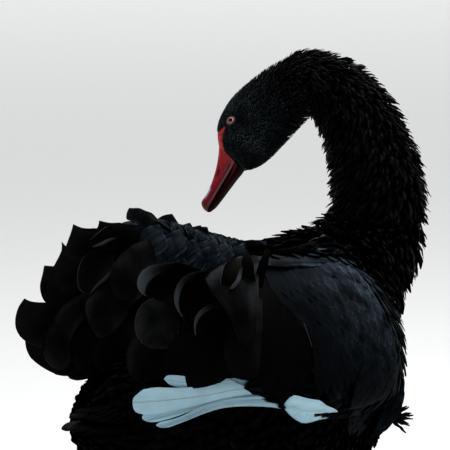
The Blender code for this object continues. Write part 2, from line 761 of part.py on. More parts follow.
def build_leg(name, sign):
    """A leg folded forward beside the belly, with its webbed foot flat on the floor."""
    def spot(ahead, left, up, radius):
        return ahead, sign * (left - LEG_TUCK), up, radius

    leg = tube(name, [spot(*stop) for stop in LEG_STOPS], 10)
    pieces = [tube("tibia", [spot(*stop) for stop in TIBIA_STOPS], 10)]
    ankle = FOOT_ANKLE
    for ahead, left, radius in TOE_TIPS:
        middle = ((ankle[0] + ahead) / 2, (ankle[1] + left) / 2, 0.0035, radius * 1.15)
        stops = [(*ankle[:2], 0.005, 0.0065), middle, (ahead, left, 0.0015, radius * 0.5)]
        pieces.append(tube("toe", [spot(*stop) for stop in stops], 6))
    outline = [(ankle[0] - 0.004, ankle[1])]
    for k, (ahead, left, _) in enumerate(TOE_TIPS):
        if k:
            between = (np.array(TOE_TIPS[k - 1][:2]) + (ahead, left)) / 2
            outline.append((between[0] - 0.012, between[1]))
        outline.append((ahead - 0.006, left))
    plate = []
    for up in (-0.001, 0.0022):
        plate.append(np.array([place(*spot(ahead, left, up, 0)[:3]) for ahead, left in outline]))
    pieces.append(loft("web", plate))
    apply_boolean(leg, "UNION", pieces)
    apply_boolean(leg, "DIFFERENCE", body_cutter())
    simplify(leg)
    flatten_below(leg)


def paint(obj, colour, roughness):
    """Gives an object its own material and smooth faces with sharp edges kept."""
    material = bpy.data.materials.new(obj.name)
    material.use_nodes = True
    shader = material.node_tree.nodes["Principled BSDF"]
    shader.inputs["Base Color"].default_value = (*colour, 1.0)
    shader.inputs["Roughness"].default_value = roughness
    shader.inputs["Metallic"].default_value = 0.0
    obj.data.materials.clear()
    obj.data.materials.append(material)
    obj.data.shade_smooth()
    obj.data.set_sharp_from_angle(angle=math.radians(40))


def main():
    build_body()
    build_bill()
    for name, sign in (("left", 1), ("right", -1)):
        build_wing("wing_" + name, sign)
        build_primaries("primaries_" + name, sign)
        build_leg("leg_" + name, sign)
    build_tail()
    for obj in PARTS.objects:
        look = next(look for start, look in LOOKS.items() if obj.name.startswith(start))
        paint(obj, *look)


for old in list(bpy.data.objects):
    bpy.data.objects.remove(old)
PARTS = bpy.data.collections.new("black_swan")
bpy.context.scene.collection.children.link(PARTS)
main()
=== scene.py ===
"""A life-size black swan, resting on its belly, with its wings ruffled and its neck arched back.

Metres. The bird faces -Y, its left side is +X, and it rests on the plane z = 0.
In the tables, "ahead" is the distance forward of the origin, "left" is the distance towards
the bird's left side, and "up" is the height above the floor.
"""

import math

import bmesh
import bpy
import numpy as np
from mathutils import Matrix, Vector
from mathutils.bvhtree import BVHTree


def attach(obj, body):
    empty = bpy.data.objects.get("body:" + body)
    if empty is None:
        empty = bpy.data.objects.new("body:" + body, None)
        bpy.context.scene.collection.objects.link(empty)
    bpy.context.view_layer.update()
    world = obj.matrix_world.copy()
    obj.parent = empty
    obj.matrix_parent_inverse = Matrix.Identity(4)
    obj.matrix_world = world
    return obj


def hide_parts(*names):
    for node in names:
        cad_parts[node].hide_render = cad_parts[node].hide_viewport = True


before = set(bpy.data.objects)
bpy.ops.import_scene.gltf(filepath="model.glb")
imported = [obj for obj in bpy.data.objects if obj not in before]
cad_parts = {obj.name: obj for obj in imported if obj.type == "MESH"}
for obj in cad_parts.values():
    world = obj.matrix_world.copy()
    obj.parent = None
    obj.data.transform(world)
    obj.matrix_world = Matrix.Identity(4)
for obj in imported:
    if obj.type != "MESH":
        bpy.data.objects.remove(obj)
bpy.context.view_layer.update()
RNG = np.random.default_rng(11)

UP = np.array((0.0, 0.0, 1.0))
AHEAD = np.array((0.0, -1.0, 0.0))
LEFT = np.array((1.0, 0.0, 0.0))

# The torso: ahead and up of the back line, ahead and up of the belly line, half width.
TORSO_STATIONS = [
    (-0.258, 0.132, -0.258, 0.112, 0.016), (-0.246, 0.148, -0.248, 0.092, 0.034),
    (-0.220, 0.166, -0.224, 0.060, 0.062), (-0.175, 0.186, -0.178, 0.028, 0.088),
    (-0.110, 0.212, -0.110, 0.004, 0.108), (-0.030, 0.240, -0.030, -0.006, 0.118),
    (0.040, 0.264, 0.048, -0.005, 0.112), (0.078, 0.272, 0.112, 0.012, 0.098),
    (0.098, 0.273, 0.152, 0.048, 0.083), (0.110, 0.271, 0.176, 0.095, 0.070),
    (0.119, 0.269, 0.197, 0.142, 0.061), (0.128, 0.269, 0.226, 0.186, 0.055),
    (0.136, 0.271, 0.258, 0.222, 0.052),
]
# The neck above it, in an upright plane turned to the bird's left: across, up, radius.
NECK_AHEAD = 0.209
NECK_TURN = math.radians(126)
NECK_STATIONS = [
    (-0.002, 0.264, 0.0485), (-0.005, 0.292, 0.0475), (-0.001, 0.322, 0.0450),
    (0.008, 0.352, 0.0420), (0.022, 0.381, 0.0390), (0.043, 0.403, 0.0355),
    (0.066, 0.412, 0.0335),
]
# The head: across, up, lean of the crown side from upright in degrees, half depth, half width.
HEAD_STATIONS = [
    (0.0860, 0.4005, 16.0, 0.0355, 0.0305), (0.1070, 0.3830, 23.5, 0.0385, 0.0270),
    (0.1255, 0.3655, 29.0, 0.0385, 0.0250), (0.1370, 0.3525, 35.0, 0.0345, 0.0240),
    (0.1435, 0.3430, 40.5, 0.0285, 0.0215), (0.1460, 0.3335, 45.8, 0.0200, 0.0160),
]
HEAD_ROLL = math.radians(20)
EYE_STATION = 22.80
EYE_CROWN_SHARE = 0.46
EYE_RADIUS = 0.0060
EYE_SINK = 0.0040

# Each wing's body: ahead, left, up, long and thick half axes, tilt in degrees, and how much
# higher the left wing is held.
WING_STATIONS = [
    (0.146, 0.058, 0.176, 0.012, 0.008, 60.0, 0.000),
    (0.134, 0.060, 0.178, 0.040, 0.024, 60.0, 0.001),
    (0.100, 0.067, 0.182, 0.068, 0.037, 59.0, 0.003),
    (0.050, 0.084, 0.184, 0.086, 0.048, 58.0, 0.006),
    (-0.010, 0.086, 0.187, 0.092, 0.050, 58.0, 0.014),
    (-0.070, 0.084, 0.192, 0.089, 0.046, 58.0, 0.028),
    (-0.120, 0.079, 0.198, 0.078, 0.036, 60.0, 0.040),
    (-0.160, 0.073, 0.205, 0.060, 0.023, 62.0, 0.046),
    (-0.182, 0.068, 0.210, 0.038, 0.010, 64.0, 0.050),
]

# The bill, from the middle of its base: along, mouth edge, outer edge, half width, base slope.
BILL_LEAN = math.radians(65.7)
UPPER_BILL = [
    (0.0000, -0.0083, 0.0184, 0.0146, 0.361), (0.0080, -0.0078, 0.0142, 0.0142, 0.280),
    (0.0180, -0.0066, 0.0108, 0.0136, 0.160), (0.0280, -0.0052, 0.0090, 0.0130, 0.060),
    (0.0380, -0.0040, 0.0082, 0.0127, 0.000), (0.0480, -0.0028, 0.0091, 0.0126, 0.000),
    (0.0550, -0.0020, 0.0092, 0.0117, 0.000), (0.0595, -0.0016, 0.0064, 0.0082, 0.000),
    (0.0615, -0.0014, 0.0028, 0.0036, 0.000),
]
LOWER_BILL = [
    (0.0000, -0.0088, -0.0166, 0.0136, 0.361), (0.0080, -0.0098, -0.0152, 0.0130, 0.280),
    (0.0180, -0.0094, -0.0128, 0.0120, 0.160), (0.0280, -0.0080, -0.0110, 0.0112, 0.060),
    (0.0380, -0.0058, -0.0091, 0.0105, 0.000), (0.0480, -0.0035, -0.0070, 0.0098, 0.000),
    (0.0550, -0.0025, -0.0051, 0.0084, 0.000), (0.0585, -0.0021, -0.0035, 0.0052, 0.000),
]

# The bare skin before the eye, by distance ahead of the bill's base: its lower and upper edges.
LORE = np.array([
    (-0.0270, 0.0150, 0.0160), (-0.0215, 0.0140, 0.0188), (-0.0165, 0.0135, 0.0225),
    (-0.0128, 0.0122, 0.0260), (-0.0090, 0.0100, 0.0400), (-0.0051, 0.0070, 0.0400),
    (0.0000, -0.0020, 0.0400), (0.0060, 0.0040, 0.0400),
])
BARE_SWELL = 0.0007
FLOOR_GAP = 0.0004


def by(*pairs):
    """A function that reads a value between listed places."""
    table = np.array(pairs, float)
    return lambda s: np.interp(s, table[:, 0], table[:, 1])


def place(ahead, left, up):
    """The point at these distances from the origin."""
    return ahead * AHEAD + left * LEFT + up * UP


ARCH = math.cos(NECK_TURN) * AHEAD + math.sin(NECK_TURN) * LEFT
ARCH_SIDE = np.cross(UP, ARCH)


def arch_place(across, up):
    """A point in the neck's upright plane."""
    return place(NECK_AHEAD, 0, up) + across * ARCH


def unit(vectors):
    """Each vector at length 1."""
    vectors = np.asarray(vectors, float)
    size = np.linalg.norm(vectors, axis=-1, keepdims=True)
    return vectors / np.maximum(size, 1e-12)


def torso_rows():
    """Centre, dorsal and left vectors of each torso section."""
    rows = []
    for back_ahead, back_up, belly_ahead, belly_up, half_width in TORSO_STATIONS:
        back, belly = place(back_ahead, 0, back_up), place(belly_ahead, 0, belly_up)
        rows.append(((back + belly) / 2, (back - belly) / 2, half_width * LEFT))
    return rows


def neck_rows():
    """The neck's round sections, whose dorsal side turns from the back to the arch's outside."""
    centres = [arch_place(across, up) for across, up, _ in NECK_STATIONS]
    line = [centres[0] - 0.03 * UP, *centres, arch_place(*HEAD_STATIONS[0][:2])]
    rows = []
    for i, (_, _, radius) in enumerate(NECK_STATIONS):
        tangent = unit(line[i + 2] - line[i])
        outside = unit(np.cross(tangent, ARCH_SIDE))
        share = (i + 0.5) / (len(NECK_STATIONS) + 0.5)
        turn = (1 - share) * NECK_TURN - share * HEAD_ROLL
        dorsal = math.cos(turn) * outside + math.sin(turn) * ARCH_SIDE
        rows.append((centres[i], radius * dorsal, radius * np.cross(dorsal, tangent)))
    return rows


def head_axes(lean):
    """The directions of the crown and of the left cheek, for a section leaning this much."""
    crown = math.cos(lean) * UP + math.sin(lean) * ARCH
    rolled_crown = math.cos(HEAD_ROLL) * crown - math.sin(HEAD_ROLL) * ARCH_SIDE
    return rolled_crown, math.cos(HEAD_ROLL) * ARCH_SIDE + math.sin(HEAD_ROLL) * crown


def head_rows():
    """Centre, crown and left vectors of each section of the head."""
    rows = []
    for across, up, lean, half_depth, half_width in HEAD_STATIONS:
        crown, left = head_axes(math.radians(lean))
        rows.append((arch_place(across, up), half_depth * crown, half_width * left))
    return rows


def wing_rows(sign):
    """Centre, long and thick vectors of each section of one wing's body."""
    rows = []
    for ahead, left, up, long_half, thick_half, tilt, raised in WING_STATIONS:
        tilt = math.radians(tilt)
        inner = -math.cos(tilt) * sign * LEFT + math.sin(tilt) * UP
        outer = math.sin(tilt) * sign * LEFT + math.cos(tilt) * UP
        centre = place(ahead, sign * left, up + (raised if sign > 0 else 0.0))
        rows.append((centre, long_half * inner, thick_half * outer))
    return rows


def spline(rows, s):
    """A Catmull-Rom curve through the rows, at an array of places counted in rows."""
    last = len(rows) - 1
    s = np.clip(s, 0, last)
    i = np.minimum(s.astype(int), last - 1)
    t = (s - i)[:, None]
    before, start, end, after = (rows[np.clip(i + k, 0, last)] for k in (-1, 0, 1, 2))
    return 0.5 * (
        2 * start
        + (end - before) * t
        + (2 * before - 5 * start + 4 * end - after) * t**2
        + (3 * start - before - 3 * end + after) * t**3
    )


class Form:
    """A smooth body through elliptic sections, whose surface is the skin.

    Its rows hold each section's centre and its two half axes. depth gives how far inside them
    the skin lies. The coat runs along the rows in the sense +1 or -1. mirror is -1 where the
    angle turns the other way round. chart is the corner and size of its place on the unwrap.
    """

    def __init__(self, rows, depth, sense, mirror, chart):
        self.rows = np.array([np.concatenate(row) for row in rows])
        self.depth, self.sense, self.mirror, self.chart = depth, sense, mirror, chart

    def point(self, s, angle, out=0.0):
        """Points at these places along and around the form, out from its skin."""
        row = spline(self.rows, s)
        grow = out - self.depth(s)
        axes = []
        for axis in (row[:, 3:6], row[:, 6:9]):
            size = np.linalg.norm(axis, axis=1)
            axes.append(axis * (np.maximum(size + grow, 0.15 * size) / size)[:, None])
        return row[:, :3] + np.cos(angle)[:, None] * axes[0] + np.sin(angle)[:, None] * axes[1]

    def frame(self, s, angle, out=0.0):
        """The points, their outward normals, and the slopes along and around the form."""
        step = 0.03
        last = len(self.rows) - 1
        low, high = np.clip(s - step, 0, last), np.clip(s + step, 0, last)
        along = (self.point(high, angle, out) - self.point(low, angle, out)) / (high - low)[:, None]
        around = self.point(s, angle + step, out) - self.point(s, angle - step, out)
        around = around / (2 * step)
        normal = unit(np.cross(around, along)) * -self.mirror
        return self.point(s, angle, out), normal, along, around

    def holds(self, points, margin=0.0):
        """Which points lie deeper than the margin inside the form's sections."""
        rows = spline(self.rows, np.linspace(0, len(self.rows) - 1, 90))
        inside = np.zeros(len(points), bool)
        for row, ahead in zip(rows[:-1], rows[1:]):
            offset = points - row[:3]
            depth = np.abs(offset @ unit(np.cross(row[3:6], row[6:9])))
            reach = np.linalg.norm(ahead[:3] - row[:3]) * 0.8 + 0.001
            total = np.zeros(len(points))
            for half in (row[3:6], row[6:9]):
                size = max(np.linalg.norm(half) - margin, 1e-4)
                total += (offset @ unit(half) / size) ** 2
            inside |= (total < 1) & (depth < reach)
        return inside

    def unwrapped(self, s, angle):
        """Where the roots lie on the unwrap of the skin's own shape."""
        left, low, wide, high = self.chart
        u = left + wide * (np.mod(angle, math.tau) / math.tau)
        return np.stack([u, low + high * s / (len(self.rows) - 1)], axis=1)


# How deep the skin lies below the coat's outside, by station of the body line and of a wing.
body_depth = by(
    (0, 0.003), (1, 0.007), (4, 0.009), (12, 0.010), (14, 0.009), (19, 0.006), (20.5, 0.0040),
    (22, 0.0022), (24, 0.0012), (25, 0.0004),
)
WING_COAT_DEPTH = 0.008


def wing_depth(s):
    """Less deep towards the wing's front end."""
    return np.full(len(s), WING_COAT_DEPTH) * np.clip(0.4 + s / 3, 0.4, 1.0)


BODY = Form(torso_rows() + neck_rows() + head_rows(), body_depth, -1, 1, (0.01, 0.01, 0.55, 0.98))
WINGS = {
    sign: Form(wing_rows(sign), wing_depth, 1, -sign, (0.58 + 0.21 * (sign < 0), 0.01, 0.19, 0.98))
    for sign in (1, -1)
}

# The view: its level direction, how far it looks down, its target, distance and span, and the
# picture's half width and scale in its own spots.
LEVEL = np.array((0.588, -0.809, 0.0))
VIEW_DROP = math.radians(8)
VIEW_RAY = math.cos(VIEW_DROP) * LEVEL - math.sin(VIEW_DROP) * UP
VIEW_TARGET = np.array((0.025, 0.018, 0.287))
VIEW_DISTANCE = 5.0
VIEW_SPAN = 0.45
SPOT_CENTRE = 225
SPOTS_PER_METRE = 1000


def link(name, data):
    """A new object in the scene."""
    obj = bpy.data.objects.new(name, data)
    bpy.context.scene.collection.objects.link(obj)
    return obj


def build_camera():
    """The camera, at the place that the picture was taken from."""
    camera = link("camera", bpy.data.cameras.new("camera"))
    camera.location = VIEW_TARGET - VIEW_DISTANCE * VIEW_RAY
    camera.rotation_euler = Vector(VIEW_RAY).to_track_quat("-Z", "Y").to_euler()
    camera.data.sensor_width = 36
    camera.data.lens = 36 * VIEW_DISTANCE / VIEW_SPAN
    camera.data.clip_end = 60
    bpy.context.scene.camera = camera


def view_rays(spots):
    """The camera's place and the directions in which it sees spots of the picture."""
    side = unit(np.cross(VIEW_RAY, UP))
    above = np.cross(side, VIEW_RAY)
    spots = (np.asarray(spots, float) - SPOT_CENTRE) / SPOTS_PER_METRE
    rays = VIEW_DISTANCE * VIEW_RAY + spots[..., :1] * side - spots[..., 1:2] * above
    return VIEW_TARGET - VIEW_DISTANCE * VIEW_RAY, unit(rays)


def seen(spots, depth):
    """The points that the view shows at spots of the picture, at these depths past the origin."""
    eye, rays = view_rays(spots)
    reach = (np.asarray(depth) - eye @ LEVEL) / (rays @ LEVEL)
    return eye + reach[..., None] * rays


def surface_depths(tree, spots):
    """How deep the skin lies behind spots of the picture, or its nearest part beside them."""
    eye, rays = view_rays(spots)
    depths = []
    for ray in rays.reshape(-1, 3):
        hit = tree.ray_cast(Vector(eye), Vector(ray))[0]
        reach = 0.0
        for _ in range(0 if hit is not None else 4):
            hit = tree.find_nearest(Vector(eye + ray * (reach - eye @ LEVEL) / (ray @ LEVEL)))[0]
            reach = np.array(hit) @ LEVEL
        depths.append(np.array(hit) @ LEVEL)
    return np.array(depths).reshape(rays.shape[:-1])


def build_light(name, offset, size, power):
    """A square lamp beside the bird, out of the camera's sight."""
    lamp = link(name, bpy.data.lights.new(name, "AREA"))
    lamp.data.energy, lamp.data.size = power, size
    lamp.location = VIEW_TARGET + offset
    lamp.rotation_euler = Vector(-offset).to_track_quat("-Z", "Y").to_euler()
    lamp.visible_camera = False


def build_stage():
    """The pale floor, the sky's light and three lamps."""
    reach = 20
    corners = [(-reach, -reach, 0), (reach, -reach, 0), (reach, reach, 0), (-reach, reach, 0)]
    floor = make_object("floor", corners, [(0, 1, 2, 3)])
    floor.data.materials.append(Nodes("floor").finish((0.74, 0.74, 0.735), 0.9))
    world = bpy.data.worlds.new("studio")
    world.use_nodes = True
    background = world.node_tree.nodes["Background"]
    background.inputs["Color"].default_value = (0.93, 0.96, 1.0, 1)
    background.inputs["Strength"].default_value = 0.30
    bpy.context.scene.world = world
    side = np.cross(LEVEL, UP)
    build_light("key", 1.7 * UP + 0.6 * side + 0.1 * LEVEL, 1.2, 40)
    build_light("fill", 0.9 * UP - 1.6 * side - 0.5 * LEVEL, 1.0, 8)
    build_light("back", 3.4 * UP + 5.0 * LEVEL, 8.0, 260)
    bpy.context.scene.view_settings.view_transform = "Standard"


class Value:
    """A number or a colour of a material, which shader nodes make."""

    def __init__(self, nodes, socket):
        self.nodes, self.socket = nodes, socket

    def maths(self, operation, other=0.0, clamp=False):
        """The outcome of a math node."""
        inputs = {0: self, 1: other}
        return self.nodes.add("Math", inputs, operation=operation, use_clamp=clamp)

    def __add__(self, other):
        return self.maths("ADD", other)

    def __sub__(self, other):
        return self.maths("SUBTRACT", other)

    def __mul__(self, other):
        return self.maths("MULTIPLY", other)

    def __abs__(self):
        return self.maths("ABSOLUTE")

    def clamped(self):
        """The value kept between 0 and 1."""
        return self.maths("ADD", clamp=True)

    def ramp(self, low, high):
        """0 below low, 1 above high and smooth between them."""
        inputs = {"Value": self, "From Min": low, "From Max": high}
        return self.nodes.add("MapRange", inputs, interpolation_type="SMOOTHSTEP")


class Nodes:
    """A short way to add and link the shader nodes of one material."""

    def __init__(self, name):
        self.material = bpy.data.materials.new(name)
        self.material.use_nodes = True
        self.tree = self.material.node_tree

    def fill(self, node, inputs):
        """Links each value to its socket, or sets a constant there."""
        for socket, value in inputs.items():
            if isinstance(value, Value):
                self.tree.links.new(value.socket, node.inputs[socket])
            else:
                plain = (*value, 1.0) if isinstance(value, tuple) else value
                node.inputs[socket].default_value = plain

    def add(self, kind, inputs, output=0, **settings):
        """What one output of a new node gives."""
        node = self.tree.nodes.new("ShaderNode" + kind)
        for key, value in settings.items():
            setattr(node, key, value)
        self.fill(node, inputs)
        return Value(self, node.outputs[output])

    def noise(self, vector, scale, detail=2.0, roughness=0.5):
        """Cloudy noise from 0 to 1."""
        inputs = {"Vector": vector, "Scale": scale, "Detail": detail, "Roughness": roughness}
        return self.add("TexNoise", inputs)

    def mix(self, share, first, second):
        """The first colour, turning to the second by the share."""
        return self.add("Mix", {"Factor": share, 6: first, 7: second}, 2, data_type="RGBA")

    def layers(self, colour, *coats):
        """A colour with others laid over it, each by its share."""
        for share, over in coats:
            colour = self.mix(share, colour, over)
        return colour

    def position(self):
        """The place of the point that is shaded."""
        return self.add("NewGeometry", {})

    def vector(self, x, y, z=0.0):
        """A vector of three values."""
        return self.add("CombineXYZ", {0: x, 1: y, 2: z})

    def attribute(self, name):
        """The three parts of a vector kept on the mesh."""
        whole = self.add("Attribute", {}, "Vector", attribute_name=name)
        return [self.add("SeparateXYZ", {0: whole}, part) for part in range(3)]

    def finish(self, colour, rough, gloss=0.5, height=None, distance=0.0, strength=1.0):
        """The material, with these on its shader and a bump by the height."""
        sockets = {"Base Color": colour, "Roughness": rough, "Specular IOR Level": gloss}
        if height:
            bump = {"Height": height, "Distance": distance, "Strength": strength}
            sockets["Normal"] = self.add("Bump", bump)
        self.fill(self.tree.nodes["Principled BSDF"], sockets)
        return self.material


def plumage(name, dark, light, roughness, barbs=0.0, gloss=0.03, even=0.25, edged=0.0):
    """Feathers, dark at the root and lighter to the edge, by the vector kept on each feather.

    Its parts are the place across the vane, the place along it, and the feather's own tone.
    even is the root's share of the edge's light, edged narrows the edge, and barbs streaks it.
    """
    nodes = Nodes(name)
    across, along, tone = nodes.attribute("vane")
    edge = abs(across).ramp(0.55 + 0.3 * edged, 1.0)
    rim = edge.maths("MAXIMUM", along.ramp(0.35 + 0.5 * edged, 1.0))
    spread = nodes.noise(nodes.position(), 55.0, 3.0)
    share = ((rim * (1 - even) + even) * tone * spread.ramp(0.25, 0.75)).clamped()
    rough = spread * 0.2 + (roughness - 0.1)
    if not barbs:
        return nodes.finish(nodes.mix(share, dark, light), rough, gloss)
    lines = nodes.vector(across * 5.0 + along * 2.0, along * 1.2, tone * 30.0)
    streaks = nodes.noise(lines, 1.3, 3.0, 0.6)
    share = share * (streaks.ramp(0.3, 0.7) * 0.75 + 0.25)
    return nodes.finish(nodes.mix(share, dark, light), rough, gloss, streaks, barbs)


def petal_plumage():
    """The large dark feathers, matt within and paler on their curled edges, with painted shade and sheen
    over their bodies and a painted sheen on their lips.
    """
    nodes = Nodes("petal_plumage")
    across, along, tone = nodes.attribute("vane")
    spread = nodes.noise(nodes.position(), 45.0, 3.0)
    away = abs(across)
    streaks = nodes.noise(nodes.vector(along - away * 0.3, across * 0.03, tone), 70.0, 3.0, 0.6)
    # the body pales from its middle and root to its edges and tip: partly the feathers' own paler edges,
    # partly painted shade and sheen
    inner = away.ramp(0.3, 1.0).maths("MAXIMUM", along.ramp(0.5, 1.0)) * 0.7 + 0.3
    body = (tone * tone * (inner * spread.ramp(0.2, 0.8)) * (streaks * 0.8 + 0.1)).clamped()
    # the curled lips' pale colour: partly the feathers' own grey edge, partly painted sheen
    lip = (away.ramp(1.02, 1.2) * tone).clamped() * tone.ramp(0.25, 0.70)
    colour = nodes.layers(
        (0.0012, 0.0012, 0.0013),
        (body, (0.145, 0.155, 0.165)),
        ((lip * (streaks * 0.8 + 0.5)).clamped(), (0.050, 0.059, 0.066)),
    )
    return nodes.finish(colour, spread * 0.2 + 0.42, 0.004, streaks, 0.0004)


def white_quill():
    """The white primaries, with a blue cast as painted sky light, softly streaked and shaded, with a faint
    shaft.
    """
    nodes = Nodes("white_quill")
    across, along, tone = nodes.attribute("vane")
    lines = nodes.vector(along - abs(across) * 0.2, across * 0.05, tone)
    streaks = nodes.noise(lines, 60.0, 3.0, 0.6)
    shaft = abs(across).ramp(0.06, 0.02)
    colour = nodes.layers(
        # a blue cast over white as painted sky light, and bluer painted shade in cloudy patches
        (0.45, 0.74, 0.87),
        (nodes.noise(nodes.position(), 60.0).ramp(0.35, 0.8) * 0.5, (0.30, 0.54, 0.66)),
        (streaks * 0.35, (0.40, 0.50, 0.56)),
        (shaft * 0.3, (0.42, 0.36, 0.26)),
    )
    return nodes.finish(colour, 0.6, 0.5, streaks + shaft, 0.0006)


def skin_material():
    """Near black beneath the coat, and mottled red where it is bare."""
    nodes = Nodes("skin")
    speckle = nodes.noise(nodes.position(), 260.0, 4.0, 0.6)
    red = nodes.mix(speckle.ramp(0.35, 0.65), (0.56, 0.040, 0.044), (0.24, 0.012, 0.018))
    colour = nodes.mix(nodes.attribute("bare")[0], (0.0008, 0.0009, 0.0010), red)
    return nodes.finish(colour, 0.5, 0.05, speckle, 0.0008)


def bill_material(name, upper):
    """Horn that is red on its back and maroon towards the mouth, with a pale band near the tip, painted
    pale glints of highlight on the upper mandible, a nostril darkened as painted shade, and inner faces
    darkened partly as painted shade in the mouth's gap.
    """
    nodes = Nodes(name)
    share, lift, side = nodes.attribute("bill")
    fine = nodes.noise(nodes.position(), 1100.0, 2.0, 0.6)
    broad = nodes.noise(nodes.position(), 170.0, 3.0, 0.6)
    lines = nodes.noise(nodes.vector(share * 1.2, lift * 16.0, side), 1.6, 3.0, 0.6)
    if upper:
        pit = share.ramp(0.22, 0.28) * share.ramp(0.43, 0.36)
        pit = pit * lift.ramp(0.48, 0.60) * lift.ramp(0.80, 0.68)
        edge = nodes.mix(lines.ramp(0.42, 0.58), (0.20, 0.028, 0.040), (0.03, 0.001, 0.003))
        band = share.ramp(0.58, 0.65) * share.ramp(0.83, 0.76) * lift.ramp(0.55, 0.85)
        colour = nodes.layers(
            (0.34, 0.024, 0.020),
            (share.ramp(0.0, 0.30), (0.29, 0.004, 0.013)),
            (share.ramp(0.35, 0.85), (0.17, 0.004, 0.011)),
            (broad.ramp(0.50, 0.75) * 0.5, (0.12, 0.003, 0.010)),
            # the nostril darkened: painted shade of its opening
            (pit * 0.75, (0.05, 0.002, 0.004)),
            (lift.ramp(0.42, 0.24) * share.ramp(0.02, 0.12), edge),
            (lift.ramp(0.14, 0.05) * lift.ramp(-0.1, 0.01) * 0.8, (0.26, 0.09, 0.11)),
            (band, (0.50, 0.55, 0.62)),
            (share.ramp(0.84, 0.93) * 0.75, (0.085, 0.018, 0.022)),
            # pale pink specks towards the base: painted glints of highlight
            (fine.ramp(0.58, 0.70) * share.ramp(0.75, 0.3) * 0.4, (0.55, 0.24, 0.27)),
        )
    else:
        colour = nodes.layers(
            (0.010, 0.0015, 0.0020),
            (lines.ramp(0.40, 0.62), (0.042, 0.0060, 0.0085)),
            (share.ramp(0.30, 0.05) * lift.ramp(0.45, 0.75), (0.016, 0.007, 0.004)),
            (lift.ramp(0.46, 0.26) * share.ramp(0.60, 0.15) * 0.9, (0.15, 0.018, 0.024)),
        )
    # the inner faces between the mandibles: dark maroon, partly their own colour and partly painted shade
    # in the mouth's gap
    colour = nodes.mix(lift.ramp(-0.10, -0.75), colour, (0.026, 0.0040, 0.0058))
    rough = broad * 0.25 + (0.25 if upper else 0.45)
    rough = rough.maths("MAXIMUM", lift.ramp(0.0, -0.3))
    return nodes.finish(colour, rough, 0.05 if upper else 0.005, fine * 0.6 + lines, 0.0005, 0.6)


def eye_material():
    """A dark pupil in a pale speckled iris with a dusky outer ring, under a clear cornea."""
    nodes = Nodes("eye")
    flat, _, around = nodes.attribute("iris")
    streak = nodes.noise(nodes.vector(around, flat * 0.5), 6.0, 3.0, 0.7)
    colour = nodes.layers(
        (0.30, 0.12, 0.11),
        (streak.ramp(0.35, 0.65), (0.52, 0.36, 0.34)),
        (flat.ramp(2.75, 2.45), (0.035, 0.010, 0.008)),
        (flat.ramp(3.3, 3.8), (0.05, 0.012, 0.012)),
        (flat.ramp(2.15, 1.9), (0.001, 0.001, 0.0015)),
    )
    return nodes.finish(colour, 0.08, 0.2)


def lid_material():
    """The eyelids' beaded dull red skin."""
    nodes = Nodes("lids")
    fine = nodes.noise(nodes.position(), 1800.0, 2.0, 0.7)
    colour = nodes.mix(fine.ramp(0.35, 0.65), (0.14, 0.055, 0.052), (0.045, 0.011, 0.011))
    return nodes.finish(colour, 0.55, 0.2, fine, 0.0003)


def foot_material():
    """Dark grey scaly skin."""
    nodes = Nodes("foot_skin")
    inputs = {"Vector": nodes.position(), "Scale": 420.0}
    scales = nodes.add("TexVoronoi", inputs, feature="DISTANCE_TO_EDGE").ramp(0.02, 0.22)
    broad = nodes.noise(nodes.position(), 90.0)
    skin = nodes.mix(broad, (0.010, 0.010, 0.011), (0.026, 0.025, 0.025))
    return nodes.finish(nodes.mix(scales, (0.004, 0.004, 0.005), skin), 0.55, 0.1, scales, 0.0006)


def make_object(name, points, faces):
    """A smooth object from arrays of points and of faces with equally many corners."""
    faces = np.asarray(faces, np.int32)
    mesh = bpy.data.meshes.new(name)
    mesh.vertices.add(len(points))
    mesh.vertices.foreach_set("co", np.asarray(points, np.float32).ravel())
    mesh.loops.add(faces.size)
    mesh.loops.foreach_set("vertex_index", faces.ravel())
    mesh.polygons.add(len(faces))
    starts = np.arange(0, faces.size, faces.shape[1], dtype=np.int32)
    mesh.polygons.foreach_set("loop_start", starts)
    mesh.polygons.foreach_set("use_smooth", np.ones(len(faces), bool))
    mesh.update(calc_edges=True)
    mesh.validate()
    return link(name, mesh)


def keep_vector(obj, name, values):
    """Keeps a vector for each vertex on the mesh."""
    layer = obj.data.attributes.new(name, "FLOAT_VECTOR", "POINT")
    layer.data.foreach_set("vector", np.asarray(values, np.float32).ravel())


def finish_piece(obj, material, slot, *nodes):
    """Gives a piece its material and body, and hides the solids that it replaces. The slot is not used."""
    obj.data.materials.append(material)
    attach(obj, "root")
    if nodes:
        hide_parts(*nodes)


def ring_faces(rings, sides, shut=False):
    """The quads between rings of points, from the last ring to the first too if it is shut."""
    here = np.arange(rings * sides).reshape(rings, sides)
    after = np.roll(here, -1, axis=0)
    quads = [here, np.roll(here, -1, axis=1), np.roll(after, -1, axis=1), after]
    return np.stack(quads, axis=-1)[: rings if shut else -1].reshape(-1, 4)


def add_rings(shell, points):
    """Adds a tube through rings of points, closed at both ends."""
    rings, sides = points.shape[:2]
    verts = [shell.verts.new(point) for point in points.reshape(-1, 3)]
    for face in ring_faces(rings, sides):
        shell.faces.new([verts[k] for k in face])
    for end in (verts[:sides], verts[-sides:]):
        shell.faces.new(end)


def shell_object(name, shell):
    """An object from a shell, whose faces all look outwards."""
    bmesh.ops.recalc_face_normals(shell, faces=shell.faces)
    for face in shell.faces:
        face.smooth = True
    obj = link(name, bpy.data.meshes.new(name))
    shell.to_mesh(obj.data)
    shell.free()
    return obj


